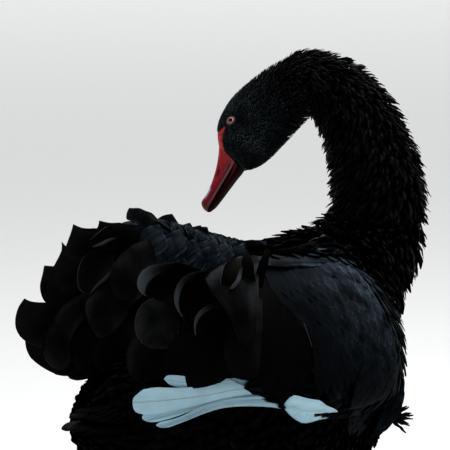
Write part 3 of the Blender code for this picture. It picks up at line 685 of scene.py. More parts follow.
def vane_faces(rows, columns):
    """The corners of one closed feather, whose two faces share its rim, and its vertex count.

    Its vertices are the grid of the upper face, then the inner points of the lower face.
    """
    upper = np.arange(rows * columns).reshape(rows, columns)
    lower = upper.copy()
    inner = (rows - 2) * (columns - 2)
    lower[1:-1, 1:-1] = rows * columns + np.arange(inner).reshape(rows - 2, columns - 2)
    faces = []
    for grid, order in ((upper, 1), (lower, -1)):
        quads = [grid[:-1, :-1], grid[:-1, 1:], grid[1:, 1:], grid[1:, :-1]]
        faces.append(np.stack(quads[::order], axis=-1).reshape(-1, 4))
    return np.concatenate(faces), rows * columns + inner


def feather_piece(name, vanes, material, *nodes, thick, roots=None, slot="plumage", across=None):
    """One piece of closed feathers.

    vanes is their grids and outward directions, each (feathers, rows, columns, 3), and their
    tones. roots are their places on the unwrap, or None for a cell each, and across is the
    columns' place over the vane.
    """
    grid, out, tones = (np.asarray(item, float) for item in vanes)
    count, rows, columns = grid.shape[:3]
    patch = ROOT_PATCH
    if roots is None:
        cells = math.ceil(math.sqrt(count))
        patch = 0.9 / cells
        k = np.arange(count)
        roots = np.stack([(k % cells + 0.5) / cells, (k // cells + 0.05) / cells], axis=1)

    def both(upper, lower):
        """The upper face's values in a row with those of the lower face's inner points."""
        faces = (upper, lower[:, 1:-1, 1:-1])
        return np.concatenate([face.reshape(count, -1, 3) for face in faces], axis=1)

    faces, size = vane_faces(rows, columns)
    points = both(grid, grid - out * thick)
    points[..., 2] = np.maximum(points[..., 2], FLOOR_GAP)
    faces = (faces[None] + (np.arange(count) * size)[:, None, None]).reshape(-1, 4)
    obj = make_object(name, points.reshape(-1, 3), faces)
    across = np.linspace(-1, 1, columns) if across is None else across
    vane = np.empty((count, rows, columns, 3))
    vane[..., 0], vane[..., 1] = across, np.linspace(0, 1, rows)[:, None]
    vane[..., 2] = tones if tones.ndim == 3 else tones[:, None, None]
    vane = both(vane, vane)
    keep_vector(obj, "vane", vane)
    corners = faces.reshape(-1)
    spots = vane[0, corners % size, :2] * (0.5 / across.max(), 1.0)
    layer = obj.data.uv_layers.new(name="OFBake")
    spots = np.clip(roots[corners // size] + patch * spots, 0, 1)
    layer.data.foreach_set("uv", spots.astype(np.float32).ravel())
    finish_piece(obj, material, slot, *nodes)


ROOT_PATCH = 0.003


def laid(form, s, angle, length, fall, heights):
    """Centre lines that follow a form, at these heights over its skin, and their normals.

    Each starts at s and angle, and turns by fall from the form's own lie. Past the form's end it
    goes on straight.
    """
    count, stops = heights.shape
    _, _, along, around = form.frame(s, angle)
    slope = np.linalg.norm(along, axis=1)[:, None]
    run = length[:, None] * np.linspace(0, 1, stops)
    free = s[:, None] + form.sense * run * np.cos(fall)[:, None] / slope
    s_run = np.clip(free, 0.02, len(form.rows) - 1.02)
    turn = run * np.sin(fall)[:, None] / np.linalg.norm(around, axis=1)[:, None]
    angle_run = angle[:, None] + turn
    spot, normal, _, _ = form.frame(s_run.ravel(), angle_run.ravel())
    spot, normal = (item.reshape(count, stops, 3) for item in (spot, normal))
    back = unit(along) * form.sense
    spot = spot + back[:, None] * ((free - s_run) * form.sense * slope)[..., None]
    return spot + heights[..., None] * normal, normal


def spread_vanes(centre, normal, half, columns, camber, roll):
    """Grids of vanes on centre lines: their half widths, their edges' fall and their lean."""
    tangent = unit(np.gradient(centre, axis=1))
    across = unit(np.cross(tangent, normal))
    out = np.cross(across, tangent)
    c, s = np.cos(roll)[:, None, None], np.sin(roll)[:, None, None]
    across, out = c * across + s * out, c * out - s * across
    v = np.linspace(-1, 1, columns)[None, None, :, None]
    half = half[:, :, None, None]
    grid = centre[:, :, None] + across[:, :, None] * half * v - out[:, :, None] * camber * half * v**2
    return grid, np.broadcast_to(out[:, :, None], grid.shape)


def scatter(form, start, end, row_gap, column_gap):
    """Places in staggered rows over a form: stations and angles, closer where gaps are small."""
    stations, angles = [], []
    s, parity = start, 0
    probe = np.linspace(0, math.tau, 24)
    while s < end:
        _, _, along, around = form.frame(np.full(len(probe), s), probe)
        slope = np.linalg.norm(along, axis=1)
        girth = np.linalg.norm(around, axis=1).mean() * math.tau
        count = max(int(girth / column_gap(s)), 3)
        row = (np.arange(count) + 0.5 * parity + RNG.uniform(-0.3, 0.3, count)) / count * math.tau
        near = np.interp(
            np.mod(row, math.tau), np.mod(probe[:-1], math.tau), slope[:-1], period=math.tau
        )
        row = row[RNG.random(count) < np.maximum(near / slope.max(), 0.2)]
        step = row_gap(s) / slope.max()
        stations.append(s + RNG.uniform(-0.3, 0.3, len(row)) * step)
        angles.append(row)
        s += step
        parity = 1 - parity
    return np.concatenate(stations), np.concatenate(angles)


STRAIGHT_ROWS, STRAIGHT_COLUMNS = 15, 13


def straight_vane(root, middle, tip, width, lean, cup, toward):
    """A broad feather as a grid of points and the directions that its inner face looks to.

    It bends from root to tip through the middle. Its face looks toward a direction, turned by
    lean about its shaft, and cup curls both edges to that side, in degrees.
    """
    stops = np.sin(np.linspace(0, math.pi / 2, STRAIGHT_ROWS))
    t = stops[:, None]
    pull = 2 * middle - (root + tip) / 2
    curve = (1 - t) ** 2 * root + 2 * t * (1 - t) * pull + t**2 * tip
    shaft = unit(2 * (1 - t) * (pull - root) + 2 * t * (tip - pull))
    across = unit(np.cross(shaft, toward))
    face = np.cross(across, shaft)
    c, s = math.cos(math.radians(lean)), math.sin(math.radians(lean))
    across, face = (c * across + s * face)[:, None], (c * face - s * across)[:, None]
    angle = math.radians(cup) * np.linspace(-1, 1, STRAIGHT_COLUMNS)
    bends = [bend((angle[1:] + angle[:-1]) / 2) for bend in (np.cos, np.sin)]
    lines = [np.concatenate([[0], np.cumsum(bend)]) * 2 / (STRAIGHT_COLUMNS - 1) for bend in bends]
    flat, raised = (line - line[STRAIGHT_COLUMNS // 2] for line in lines)
    opening = 0.40 + 0.60 * np.sin(np.minimum(stops / 0.55, 1) * math.pi / 2)
    closing = np.sqrt(np.maximum(1 - np.maximum((stops - 0.55) / 0.45, 0) ** 2, 0))
    half = (width / 2 * opening * np.maximum(closing, 0.08))[:, None]
    grid = curve[:, None] + (flat * half)[..., None] * across + (raised * half)[..., None] * face
    return grid, np.cos(angle)[:, None] * face - np.sin(angle)[:, None] * across


PETAL_ROWS, PETAL_COLUMNS, LIP_COLUMNS = 19, 13, 6
PETAL_ACROSS = np.concatenate([
    -np.linspace(2, 1, LIP_COLUMNS)[:-1],
    np.linspace(-1, 1, PETAL_COLUMNS),
    np.linspace(1, 2, LIP_COLUMNS)[1:],
])
PLAIN_LIPS = ((0.5, 80), (0.5, 80))
WAVE = 0.45
ROLLED_LIP = 0.7


def even_curve(spots, stops):
    """Spots of a smooth curve through the listed ones, at shares of its length."""
    spots = np.reshape(spots, (-1, 2)).astype(float)
    dense = spline(spots, np.linspace(0, len(spots) - 1, 120))
    length = np.concatenate([[0], np.cumsum(np.linalg.norm(np.diff(dense, axis=0), axis=1))])
    at = np.asarray(stops) * length[-1]
    return np.stack([np.interp(at, length, dense[:, k]) for k in range(2)], axis=1)


def petal(tree, first, second, end, depth, camber, tone, start=0.0, lips=PLAIN_LIPS, lean=0):
    """A broad feather by its outline in the picture: a grid of points, their normals and tones.

    Both edges run from the root to the tip, and end joins their ends. depth is at the root, the
    middle and the tip, or is over the skin where its first item is None; a last item more then
    says how much nearer than the root the skin may count. camber brings the middle nearer and
    lean the first edge. tone is one number, or those of the root, the lips and the tip. A tip tone
    below the root's paints shade over the feather's lower end, and a dark root tone under a bright
    lip paints shade in a curl's hollow and a sheen on the lip, which is partly its own grey edge.
    lips are radii and turns of the two edges' curls towards the viewer, from start on.
    """
    first, second, end = (np.reshape(line, (-1, 2)) for line in (first, second, end))
    u = np.sin(np.linspace(0, math.pi / 2, PETAL_ROWS)) ** 1.15
    v = np.linspace(0, 1, PETAL_COLUMNS)
    edges = [even_curve(line, u) for line in (first, second)]
    close = even_curve(np.concatenate([first[-1:], end, second[-1:]]), v)
    for edge in edges:
        wave = np.sin(u * RNG.uniform(9, 15) + RNG.uniform(0, 6)) * np.sin(math.pi * u)
        edge += WAVE * wave[:, None] * unit(edges[1] - edges[0] + 1e-6)
    spots = edges[0][:, None] * (1 - v[None, :, None]) + edges[1][:, None] * v[None, :, None]
    spots = spots + (u**3)[:, None, None] * (close - spots[-1])[None]
    root, middle, tip = depth[1:4] if depth[0] is None else depth
    depths = root + (tip - root) * u + (middle - (root + tip) / 2) * 4 * u * (1 - u)
    depths = np.broadcast_to(depths[:, None], spots.shape[:2])
    if depth[0] is None:
        base = surface_depths(tree, spots)
        if len(depth) > 4:
            base = np.maximum(base, base[0].max() - depth[4])
        fifth = np.ones(5) / 5
        base = np.stack([np.convolve(np.pad(row, 2, "edge"), fifth, "valid") for row in base])
        depths = base - depths
    across = 2 * v - 1
    swell = (0.4 + 0.6 * np.sin(math.pi * np.minimum(u + 0.15, 1)))[:, None]
    depths = depths - (camber * (1 - across**2)[None] * swell - lean * across[None]) / 1000
    main = seen(spots, depths)
    span = np.linalg.norm(main[:, -1] - main[:, 0], axis=1)
    profile = np.sin(math.pi * np.clip((u - start) / (1 - start), 0, 1) ** 0.9)
    profile = np.clip(profile, 0.0, 1) ** 0.6
    folds, pull = [], 0
    for side, (radius, turn) in enumerate(lips):
        edge = main[:, -side]
        inward = unit(main[:, (1, -2)[side]] - edge)
        size = np.minimum(np.maximum(radius * profile, 0.25) / 1000, 0.24 * span)[:, None]
        phi = np.radians(turn) * np.linspace(0, 1, LIP_COLUMNS)
        fold = edge[:, None] + inward[:, None] * (size * (1 - np.sin(phi)))[..., None]
        folds.append(fold - LEVEL * (size * (1 - np.cos(phi)))[..., None])
        share = np.abs(1 - side - v)[None, :, None] ** 3
        pull = pull + inward[:, None] * size[:, None] * share
    grid = np.concatenate([folds[0][:, :0:-1], main + pull, folds[1][:, 1:]], axis=1)
    normal = unit(np.cross(np.gradient(grid, axis=1), np.gradient(grid, axis=0)) + 1e-12)
    middle = normal[:, LIP_COLUMNS : LIP_COLUMNS + PETAL_COLUMNS - 2]
    body, lip, last = (*tone, tone[0])[:3] if isinstance(tone, tuple) else (tone, 0.2 * tone, tone)
    # tones run from the root's to the tip's: a darker tip is painted shade over the feather's lower end
    tones = np.linspace(body, last, PETAL_ROWS)[:, None] * np.ones(grid.shape[1])
    shown = (np.linspace(0, 1, PETAL_ROWS) ** 0.7 - start) / (0.5 - 0.5 * start)
    shown = np.clip(shown, 0.05, 1)[:, None] ** 1.5
    # rolled lips take the lip tone: partly the feather's own grey edge, partly painted sheen
    for part, (radius, _) in zip((slice(0, LIP_COLUMNS - 1), slice(1 - LIP_COLUMNS, None)), lips):
        if radius > ROLLED_LIP:
            tones[:, part] = lip * shown
    return grid, -np.sign((middle @ LEVEL).sum()) * normal, tones


def petals(name, table, tree, material, *nodes, thick=0.0006, slot="plumage"):
    """One piece of petals from its table."""
    vanes = zip(*[petal(tree, *row) for row in table])
    feather_piece(name, vanes, material, *nodes, thick=thick, slot=slot, across=PETAL_ACROSS)


def outlined(root, head, side, shape):
    """Both edges of a feather by (share along head, share of side) pairs."""
    return [[root + u * head + sign * w * side for u, w in shape] for sign in (1, -1)]


# The ridge of the far shoulder, from its front to its rear, and the lower bound of its feathers,
# as the view shows them. The rows of feathers: how far below the ridge, length and width.
RIDGE = (268, 250, 245, 247.5, 228, 242, 205, 231.5, 185, 221.5, 165, 213, 148, 209.5)
SCALE_ROWS = (
    (-0.5, 36, 18), (5, 32, 22), (13, 32, 26), (22, 34, 30), (32, 34, 32), (43, 36, 34), (54, 36, 36)
)
SCALE_REARS = (166, 146, 134, 126, 124, 124, 124)
SCALE_SHAPE = ((0, 0.36), (0.3, 0.48), (0.6, 0.5), (0.85, 0.40), (0.99, 0.12))
scale_floor = by((118, 262), (150, 266), (180, 270), (205, 274), (225, 264), (240, 256), (262, 252))
scale_turn = by((140, 36), (200, 30), (255, 14))


def scale_feathers():
    """Overlapping shoulder feathers in rows under the ridge, with pale edges, as petals."""
    table = []
    line = even_curve(RIDGE, np.linspace(0, 1, 200))
    slope = unit(np.gradient(line, axis=0))
    under = np.stack([-slope[:, 1], slope[:, 0]], axis=1)
    under = under * np.sign(under[:, 1:2])
    for row, (fall, length, width) in enumerate(SCALE_ROWS):
        lower = line + under * fall
        run = np.concatenate([[0], np.cumsum(np.linalg.norm(np.diff(lower, axis=0), axis=1))])
        gap = 0.66 * width
        for k in range(int(run[-1] / gap) + 1):
            at = (k + 0.5 * (row % 2)) * gap + RNG.uniform(-1, 1)
            root = np.array([np.interp(at, run, lower[:, j]) for j in range(2)])
            turn = math.radians(scale_turn(root[0]) + 0.25 * fall + RNG.uniform(-6, 6))
            turn += RNG.uniform(-0.12, 0.12)
            root = root + RNG.uniform(-2.5, 2.5, 2)
            long, wide = length * RNG.uniform(0.85, 1.2), width * RNG.uniform(0.85, 1.25)
            head = np.array((-math.cos(turn), math.sin(turn)))
            side = np.array((head[1], -head[0]))
            tip = root + long * head
            if root[1] > scale_floor(root[0]) or tip[0] < SCALE_REARS[row]:
                continue
            edges = outlined(root, long * head, wide * side, SCALE_SHAPE)
            lift = 0.009 + 0.00015 * fall
            tone = RNG.uniform(0.6, 1.0)
            depth = (None, lift, lift + 0.007, lift + RNG.uniform(0.009, 0.013), 0.016)
            table.append((*edges, tip, depth, 2.0, tone, 0.0, ((1.0, 110), (1.0, 110))))
    return table


# The near shoulder's feathers lie between these two lines, from the front down, and the flank's.
SHOULDER_OUTER = (
    316, 248, 340, 257, 357, 271, 369, 287, 380, 305, 390, 324, 398, 343, 403, 361, 405, 380
)
SHOULDER_INNER = (262, 260, 266, 276, 276, 296, 296, 318, 312, 342, 314, 366, 316, 388, 316, 406)
FLANK_OUTER = (
    399, 352, 402, 366, 404, 380, 404, 394, 402, 406, 396, 418, 388, 428, 378, 436, 368, 442
)
FLANK_INNER = (
    372, 352, 364, 366, 358, 380, 354, 394, 351, 406, 349, 418, 348, 426, 348, 434, 349, 440
)
STRIP_SHAPE = ((0, 0.6), (0.25, 0.9), (0.5, 1.0), (0.75, 0.8), (0.97, 0.22))
# tones of the near shoulder, a painted sheen brightest at its top and outer edge, and of the flank,
# brightest at its outer edge
shoulder_sheen_down = by((0, 1.1), (0.3, 0.65), (0.6, 0.25))
shoulder_sheen_across = by((0, 1.3), (0.2, 0.95), (0.45, 0.38), (0.7, 0.14), (1, 0.08))
flank_sheen_across = by((0, 1.6), (0.4, 0.8), (1, 0.5))


def strip_feathers(outer, inner, rows, columns, reach, spread, lifts, sheen_tone):
    """Feathers in rows down between two lines of the picture, as petals.

    reach is their length's share of the strip's, spread half their width's share of its width
    and the last function their tone by the shares down and across, which paints a sheen on them.
    """
    table = []
    outer, inner = (even_curve(line, np.linspace(0, 1, 101)) for line in (outer, inner))
    for row in range(rows - 1, -1, -1):
        begin = row / rows * (1 - reach) * 1.12 - 0.05
        for column in range(columns):
            q = (column + 0.5 * (row % 2) + RNG.uniform(-0.12, 0.12)) / (columns - 0.5)
            edges = []
            for sign in (-1, 1):
                spots = []
                for u, w in STRIP_SHAPE:
                    t = np.clip(begin + u * reach * RNG.uniform(0.99, 1.01), 0, 1) * 100
                    at = np.clip(q + sign * w * spread, 0, 1)
                    spot = (1 - at) * outer + at * inner
                    spots.append([np.interp(t, range(101), spot[:, k]) for k in range(2)])
                edges.append(spots)
            tip = (np.array(edges[0][-1]) + np.array(edges[1][-1])) / 2 + np.array((0, 1.5))
            extra = 0.010 * max(q - 0.6, 0) + RNG.uniform(0, 0.0015)
            depth = (None, *(lift + extra for lift in lifts))
            table.append((*edges, tip, depth, 1.0, sheen_tone(begin, q)))
    return table


WISP_ROOT = np.array((391, 417))
WISP_ANGLES = (-34, -22, -12, -4, 5, 14, 24, 38)
WISP_SHAPE = ((0, 1.0), (0.3, 1.6), (0.6, 1.3), (0.85, 0.7), (0.99, 0.15))


def wisps():
    """The loose wisps that stick out over the flank's edge, as petals."""
    table = []
    for angle in WISP_ANGLES:
        turn = math.radians(angle)
        head = np.array((math.cos(turn), math.sin(turn)))
        side = np.array((-head[1], head[0]))
        start, length = WISP_ROOT + 0.05 * angle * side, RNG.uniform(17, 23)
        sag = np.array((0.0, RNG.uniform(-2, 3)))
        edges = outlined(start, length * head, side, WISP_SHAPE)[::-1]
        for edge in edges:
            for spot, (u, _) in zip(edge, WISP_SHAPE):
                spot += u * u * sag
        tip = start + length * head + sag
        table.append((*edges, tip, (None, 0.006, 0.010, 0.012), 0.5, 0.12))
    return table

# The left wing's raised feathers, as the view shows them: the upper and the lower edge from the
# root on and the end between them, each as x and y in turn, depth, camber and tone, and where
# they aren't petal's own, start, lips and lean. Dark root tones under bright lips paint shade in
# the curls' hollows and sheen on their lips, partly the feathers' own grey edges.
LEFT_FAN = [
    ((125, 325, 90, 345, 72, 362, 67, 373), (130, 350, 112, 365, 98, 374, 88, 379),
     (69, 378, 77, 380.5), (-0.075, -0.098, -0.098), 3, 0.24),
    ((125, 310, 85, 325, 50, 333, 32, 336, 25, 340), (128, 345, 100, 360, 80, 370, 68, 375.5, 55, 374),
     (26, 348, 30, 357, 37, 363.5, 45, 369), (-0.078, -0.104, -0.102), 3, 0.24),
    ((128, 296, 90, 298, 60, 302, 42, 303, 31, 302, 24, 298.7),
     (128, 330, 90, 345, 60, 350, 40, 348, 30, 344),
     (18.5, 307, 15.5, 317, 15.5, 327, 19, 335, 25, 341), (-0.08, -0.11, -0.11), 4, 0.3, 0.0,
     PLAIN_LIPS, 2),
    ((130, 280, 90, 272, 65, 267, 52, 266.5, 44, 266), (130, 312, 90, 316, 65, 312, 46, 303),
     (42.5, 274, 40, 285, 41, 294, 43.5, 300), (-0.08, -0.114, -0.115), 4, 0.3, 0.0, PLAIN_LIPS, 2),
    ((130, 262, 95, 252, 74, 250, 66, 247, 61.5, 242), (130, 292, 95, 296, 70, 296, 53, 292),
     (61.5, 250, 57, 260, 53, 268, 52, 280), (-0.08, -0.118, -0.119), 4, 0.3, 0.0, PLAIN_LIPS, 2),
    ((135, 240, 105, 230, 88, 229, 80, 227.5, 73, 224.5), (130, 270, 100, 270, 80, 268, 62, 262),
     (71, 232, 67, 243, 64, 252), (-0.08, -0.12, -0.123), 4, 0.3, 0.0, PLAIN_LIPS, 2),
    ((150, 232, 125, 224, 112, 223.5, 99, 221), (150, 255, 120, 250, 100, 249, 85, 247),
     (98, 226, 94, 233, 88, 242), (-0.07, -0.12, -0.126), 4, 0.3, 0.0, PLAIN_LIPS, 2),
    ((158, 220, 152, 214, 145, 210.5, 137, 208.5, 129, 208.5),
     (156, 234, 148, 229, 139, 224, 127, 219), (127, 213, 126.5, 218), (-0.06, -0.085, -0.105), 3,
     (0.7, 1.0), 0.0, ((1.2, 120), (0.5, 80))),
    ((125, 310, 108, 335, 98, 345, 94, 355, 92, 364, 88, 370),
     (110, 300, 92, 322, 78, 333, 73, 342, 72, 354, 76, 366), (81, 373), (-0.105, -0.124, -0.118), 4,
     0.2, 0.2),
    ((118, 318, 102, 336, 94, 346, 92, 358, 97, 368), (150, 320, 138, 345, 130, 362, 120, 372),
     (108, 375), (-0.1, -0.124, -0.118), 4, 0.2, 0.2),
    ((125, 226, 112, 226, 104, 228, 97, 234, 91, 240),
     (130, 240, 118, 238, 110, 241, 103, 244, 93, 247), (90, 244), (-0.105, -0.131, -0.131), -5,
     (0.15, 0.55), 0.1, ((1.2, 150), (2.4, 250))),
    ((120, 282, 100, 286, 75, 296, 61, 305, 52, 319, 45.5, 333, 42.5, 346, 43, 358, 50, 366),
     (125, 300, 98, 310, 84, 321, 76, 331, 71.5, 341, 70, 352, 71, 361, 66, 368), (58, 370),
     (-0.105, -0.134, -0.126), 4, 0.4, 0.2, ((1.5, 140), (1.5, 140))),
    ((120, 245, 104, 247, 92, 250, 84, 257, 79.5, 267, 77.5, 279, 79, 288, 85, 293),
     (125, 252, 114, 256, 115, 268, 109, 276, 100, 284, 93, 291, 89, 294.5), (87, 295),
     (-0.108, -0.139, -0.137), -8, (0.3, 0.5), 0.1, ((1.2, 140), (2.6, 250))),
    ((142, 270, 112, 276, 100, 286, 89, 297, 84.5, 303, 85, 312, 88, 322, 93, 331),
     (152, 288, 138, 300, 130, 308, 124, 322, 113, 333, 104, 338), (98, 337), (-0.105, -0.142, -0.136),
     3, 0.4, 0.2, ((1.0, 100), (1.8, 140))),
    ((150, 240, 135, 244, 122, 254, 114, 266, 110, 280, 114, 292),
     (158, 262, 148, 276, 140, 288, 130, 298, 122, 301), (117, 299), (-0.095, -0.138, -0.142), 3, 0.35,
     0.2),
]

# The right wing's curled feathers, in the same way. Dark root tones under bright lips paint
# shade in the curls' hollows and sheen on their lips, partly the feathers' own grey edges, and a
# tip tone below the root's paints shade over a feather's lower end.
RIGHT_CURLS = [
    ((165, 305, 148, 322, 137, 335, 129, 348, 126.5, 360, 129, 372, 136, 381),
     (185, 325, 168, 345, 160, 360, 156, 374, 148, 382), (142, 384.5), (-0.165, -0.192, -0.196), 4,
     0.35, 0.2),
    ((180, 320, 165, 340, 157, 356, 156, 372, 162, 385), (205, 330, 192, 350, 184, 368, 177, 384),
     (169, 389), (-0.17, -0.197, -0.2), 4, 0.1, 0.2),
    ((205, 286, 185, 290, 165, 294, 150, 299, 140, 308, 135.5, 320, 136, 333, 143, 344),
     (215, 325, 200, 335, 186, 341, 172, 346, 160, 348.5), (151, 348.5), (-0.165, -0.2, -0.206), 4,
     0.55, 0.2),
    ((228, 282, 200, 270, 178, 263, 160, 263, 147, 266, 140, 273, 137.5, 282, 140, 290, 148, 296),
     (232, 310, 205, 306, 185, 304, 170, 302, 160, 300), (153, 299), (-0.165, -0.198, -0.204), -12,
     (0.12, 0.95), 0.45, ((8.0, 240), (0.6, 60))),
    ((245, 285, 225, 277, 205, 271, 190, 273.5, 181, 279, 176, 288, 174.5, 298, 177, 308, 183, 317),
     (248, 325, 228, 327, 210, 326, 198, 323, 190, 321), (186, 320), (-0.168, -0.206, -0.214), -12,
     (0.1, 0.8), 0.4, ((4.6, 240), (0.6, 60))),
    ((235, 315, 205, 312, 190, 322, 177, 336, 167, 350, 163, 366, 170, 381),
     (262, 320, 252, 345, 244, 360, 233, 373, 219, 383), (185, 388, 203, 387.5),
     (-0.172, -0.214, -0.222), 5, 0.12, 0.2),
    ((262, 312, 240, 304, 222, 302, 210, 304, 203, 308, 197, 315, 194.5, 324, 195.5, 335),
     (262, 340, 240, 342, 222, 342, 208, 341, 200, 340), (197, 338), (-0.175, -0.22, -0.228), -10,
     (0.1, 0.6), 0.35, ((3.0, 240), (0.6, 60))),
    ((238, 298, 229, 316, 224, 336, 224, 356, 229, 373), (262, 298, 262, 325, 261, 350, 258, 377),
     (243, 379), (-0.168, -0.218, -0.222), 8, (0.36, 0.2, 0.12), 0.1),
    # this one fades to tone 0 towards its tip: painted shade over its lower end
    ((240, 256, 222, 264, 205, 276, 210, 288, 219, 300, 228, 313, 235, 327, 240, 342),
     (262, 256, 259, 272, 258, 290, 257, 310, 255, 330, 252, 345), (246, 350),
     (-0.164, -0.228, -0.226), 9, (0.8, 0.35, 0.0), 0.1, ((1.4, 140), (0.5, 80)), 6),
    ((236, 258, 227, 262, 223, 270, 220.5, 279, 222, 286),
     (246, 258, 243, 266, 241, 276, 236, 285, 229, 290), (225, 289.5), (-0.186, -0.228, -0.228), -6,
     (0.05, 0.7), 0.1, ((1.2, 140), (2.8, 250))),
    ((244, 290, 242.5, 272, 242, 261, 244, 254.5), (256, 290, 254, 272, 252, 261, 250, 255.5),
     (247, 254), (-0.19, -0.214, -0.204), 1, 0.05, 0.2),
    ((252, 285, 257, 270, 262, 258, 265, 250.5), (262, 288, 266, 270, 269, 259, 270, 250.5),
     (267.5, 249), (-0.18, -0.196, -0.186), 1, 0.05, 0.2),
    ((285, 285, 283, 330, 284, 370, 288, 392), (318, 290, 316, 330, 312, 365, 303, 390), (296, 399),
     (None, 0.008, 0.016, 0.014), 6, 0.02, 0.2),
    ((276, 275, 270, 310, 268, 350, 269, 380, 273, 395),
     (302, 280, 300, 320, 298, 360, 293, 388, 287, 399), (280, 403), (None, 0.009, 0.019, 0.018), 6,
     0.02, 0.2),
    ((262, 270, 256, 300, 254, 340, 255, 370, 259, 385),
     (290, 280, 286, 320, 283, 350, 279, 378, 272, 391), (265, 393), (None, 0.01, 0.022, 0.022), 6,
     0.02, 0.2),
    ((285, 285, 266, 300, 262, 320, 266, 342, 280, 362),
     (284, 290, 293, 303, 301, 318, 308, 334, 312, 348), (310, 363, 295, 368),
     (None, 0.008, 0.016, 0.018), 3, (0.03, 0.6), 0.05, ((0.5, 80), (1.2, 140))),
]

# The rounded feathers over them and down the near flank, in the same way. The first two have
# dark bodies under pale lips, painted shade and sheen, and the last is pale as a painted
# highlight along the shoulder's ridge.
NEAR_COVERTS = [
    ((322, 320, 311, 338, 309, 356, 312, 367, 319, 373.5),
     (352, 322, 348, 345, 341, 360, 334, 369, 328, 374.5), (323, 375.5), (None, 0.006, 0.012, 0.015),
     3, (0.05, 0.35), 0.1, ((1.0, 120), (1.0, 120))),
    ((336, 258, 318, 264, 305, 271, 299.5, 282, 301, 293, 308, 301),
     (358, 278, 354, 295, 345, 304, 333, 307.5), (320, 306), (None, 0.006, 0.012, 0.016), 3,
     (0.12, 0.45), 0.2, ((0.6, 80), (1.0, 140))),
    # a long feather along the shoulder's ridge, pale as a painted highlight
    ((340, 249, 318, 248, 300, 252, 280, 255, 266, 259),
     (340, 264, 318, 266, 300, 266, 282, 266, 268, 265), (263, 262.5), (None, 0.012, 0.021, 0.027), 3,
     0.9, 0.0, ((0.8, 100), (1.2, 130))),
]

# The white primaries of the right wing, in the same way.
RIGHT_QUILLS = [
    ((270, 372, 257, 374, 235, 378, 210, 380, 185, 376.5, 172, 375.5, 166, 376.5),
     (270, 382, 257, 383, 235, 387, 210, 390, 185, 388, 172, 385, 167, 382), (164, 379),
     (-0.17, -0.208, -0.232), 1.5, 0.45),
    ((285, 385, 262, 380, 235, 381, 205, 387, 175, 388, 155, 388, 142, 390.5),
     (285, 396, 262, 396, 235, 398, 205, 404, 178, 410, 155, 414, 141, 413.5),
     (134, 397, 132.5, 404, 135, 411.5), (-0.16, -0.212, -0.246), 2, 0.6),
    ((290, 396, 265, 394, 235, 396, 205, 402, 178, 409, 155, 412, 144, 413),
     (290, 402, 265, 398, 238, 399.5, 210, 404, 190, 410.5, 172, 417.5, 156, 421.5),
     (142, 418, 147, 421.5), (-0.158, -0.209, -0.242), 1.5, 0.55),
    ((290, 405, 270, 399.5, 245, 399, 220, 402, 198, 409, 178, 418, 160, 422.5),
     (290, 410, 270, 406.5, 245, 405.5, 222, 408, 202, 414, 185, 420.5, 168, 427),
     (156, 425, 160, 427.5), (-0.156, -0.207, -0.238), 1, 0.5),
    ((284, 404, 288, 400, 294, 395.5, 303, 397.5, 312, 400, 320, 401.5, 327, 406.5, 333, 408.5, 341,
     414),
     (284, 408, 288, 412, 293, 417.5, 302, 422.5, 312, 421.5, 321, 419.5, 331, 417.5, 341, 415.5),
     (342, 415), (None, 0.03, 0.034, 0.032), 2, 0.5),
]

# The hidden wing tip's primaries: ahead, left, up of their roots, middles and tips.
LEFT_QUILLS = [
    ((-0.040, 0.108, 0.138), (-0.085, 0.116, 0.126), (-0.112, 0.112, 0.120)),
    ((-0.040, 0.108, 0.134), (-0.088, 0.114, 0.121), (-0.118, 0.106, 0.115)),
    ((-0.040, 0.108, 0.130), (-0.090, 0.112, 0.116), (-0.122, 0.100, 0.110)),
    ((-0.040, 0.108, 0.126), (-0.092, 0.110, 0.111), (-0.122, 0.094, 0.105)),
]


def tube(name, form, stations, sides):
    """A closed tube on the skin of a form."""
    s = np.repeat(stations, sides)
    angle = np.tile(np.arange(sides) * math.tau / sides, len(stations))
    shell = bmesh.new()
    add_rings(shell, form.point(s, angle).reshape(-1, sides, 3))
    return shell_object(name, shell)


def build_skin(material):
    """The skin of the body, head and wings, in one closed mesh."""
    stations = np.concatenate([np.linspace(0, 19.8, 150), np.linspace(19.9, 25, 90)])
    skin = tube("skin", BODY, stations, 72)
    tools = [tube("wing", form, np.linspace(0, 8, 50), 48) for form in WINGS.values()]
    for tool in tools:
        modifier = skin.modifiers.new("join", "BOOLEAN")
        modifier.operation, modifier.solver, modifier.object = "UNION", "EXACT", tool
    graph = bpy.context.evaluated_depsgraph_get()
    joined = bpy.data.meshes.new_from_object(skin.evaluated_get(graph))
    skin.modifiers.clear()
    skin.data = joined
    for tool in tools:
        bpy.data.objects.remove(tool)
    for vert in joined.vertices:
        vert.co.z = max(vert.co.z, 0.003)
    joined.polygons.foreach_set("use_smooth", np.ones(len(joined.polygons), bool))
    bare = bare_mask(np.array([vert.co for vert in joined.vertices]))
    normals = [vert.normal.copy() for vert in joined.vertices]
    for vert, normal, share in zip(joined.vertices, normals, bare):
        vert.co += float(BARE_SWELL * share) * normal
    keep_vector(skin, "bare", np.stack([bare] * 3, axis=1))
    solids = "torso neck_lower neck_middle neck_upper head wing_left wing_right"
    finish_piece(skin, material, "plumage", *solids.split())
    return skin


def eye_place(sign):
    """An eye's centre, its outward direction, and the point on the head over it."""
    row = spline(BODY.rows, np.array([EYE_STATION]))[0]
    centre, dorsal, left = row[:3], row[3:6], row[6:9]
    share = math.sqrt(1 - EYE_CROWN_SHARE**2)
    surface = centre + EYE_CROWN_SHARE * dorsal + sign * share * left
    depth, width = np.linalg.norm(dorsal), np.linalg.norm(left)
    outward = unit(EYE_CROWN_SHARE / depth * unit(dorsal) + sign * share / width * unit(left))
    return surface - EYE_SINK * outward, outward, surface


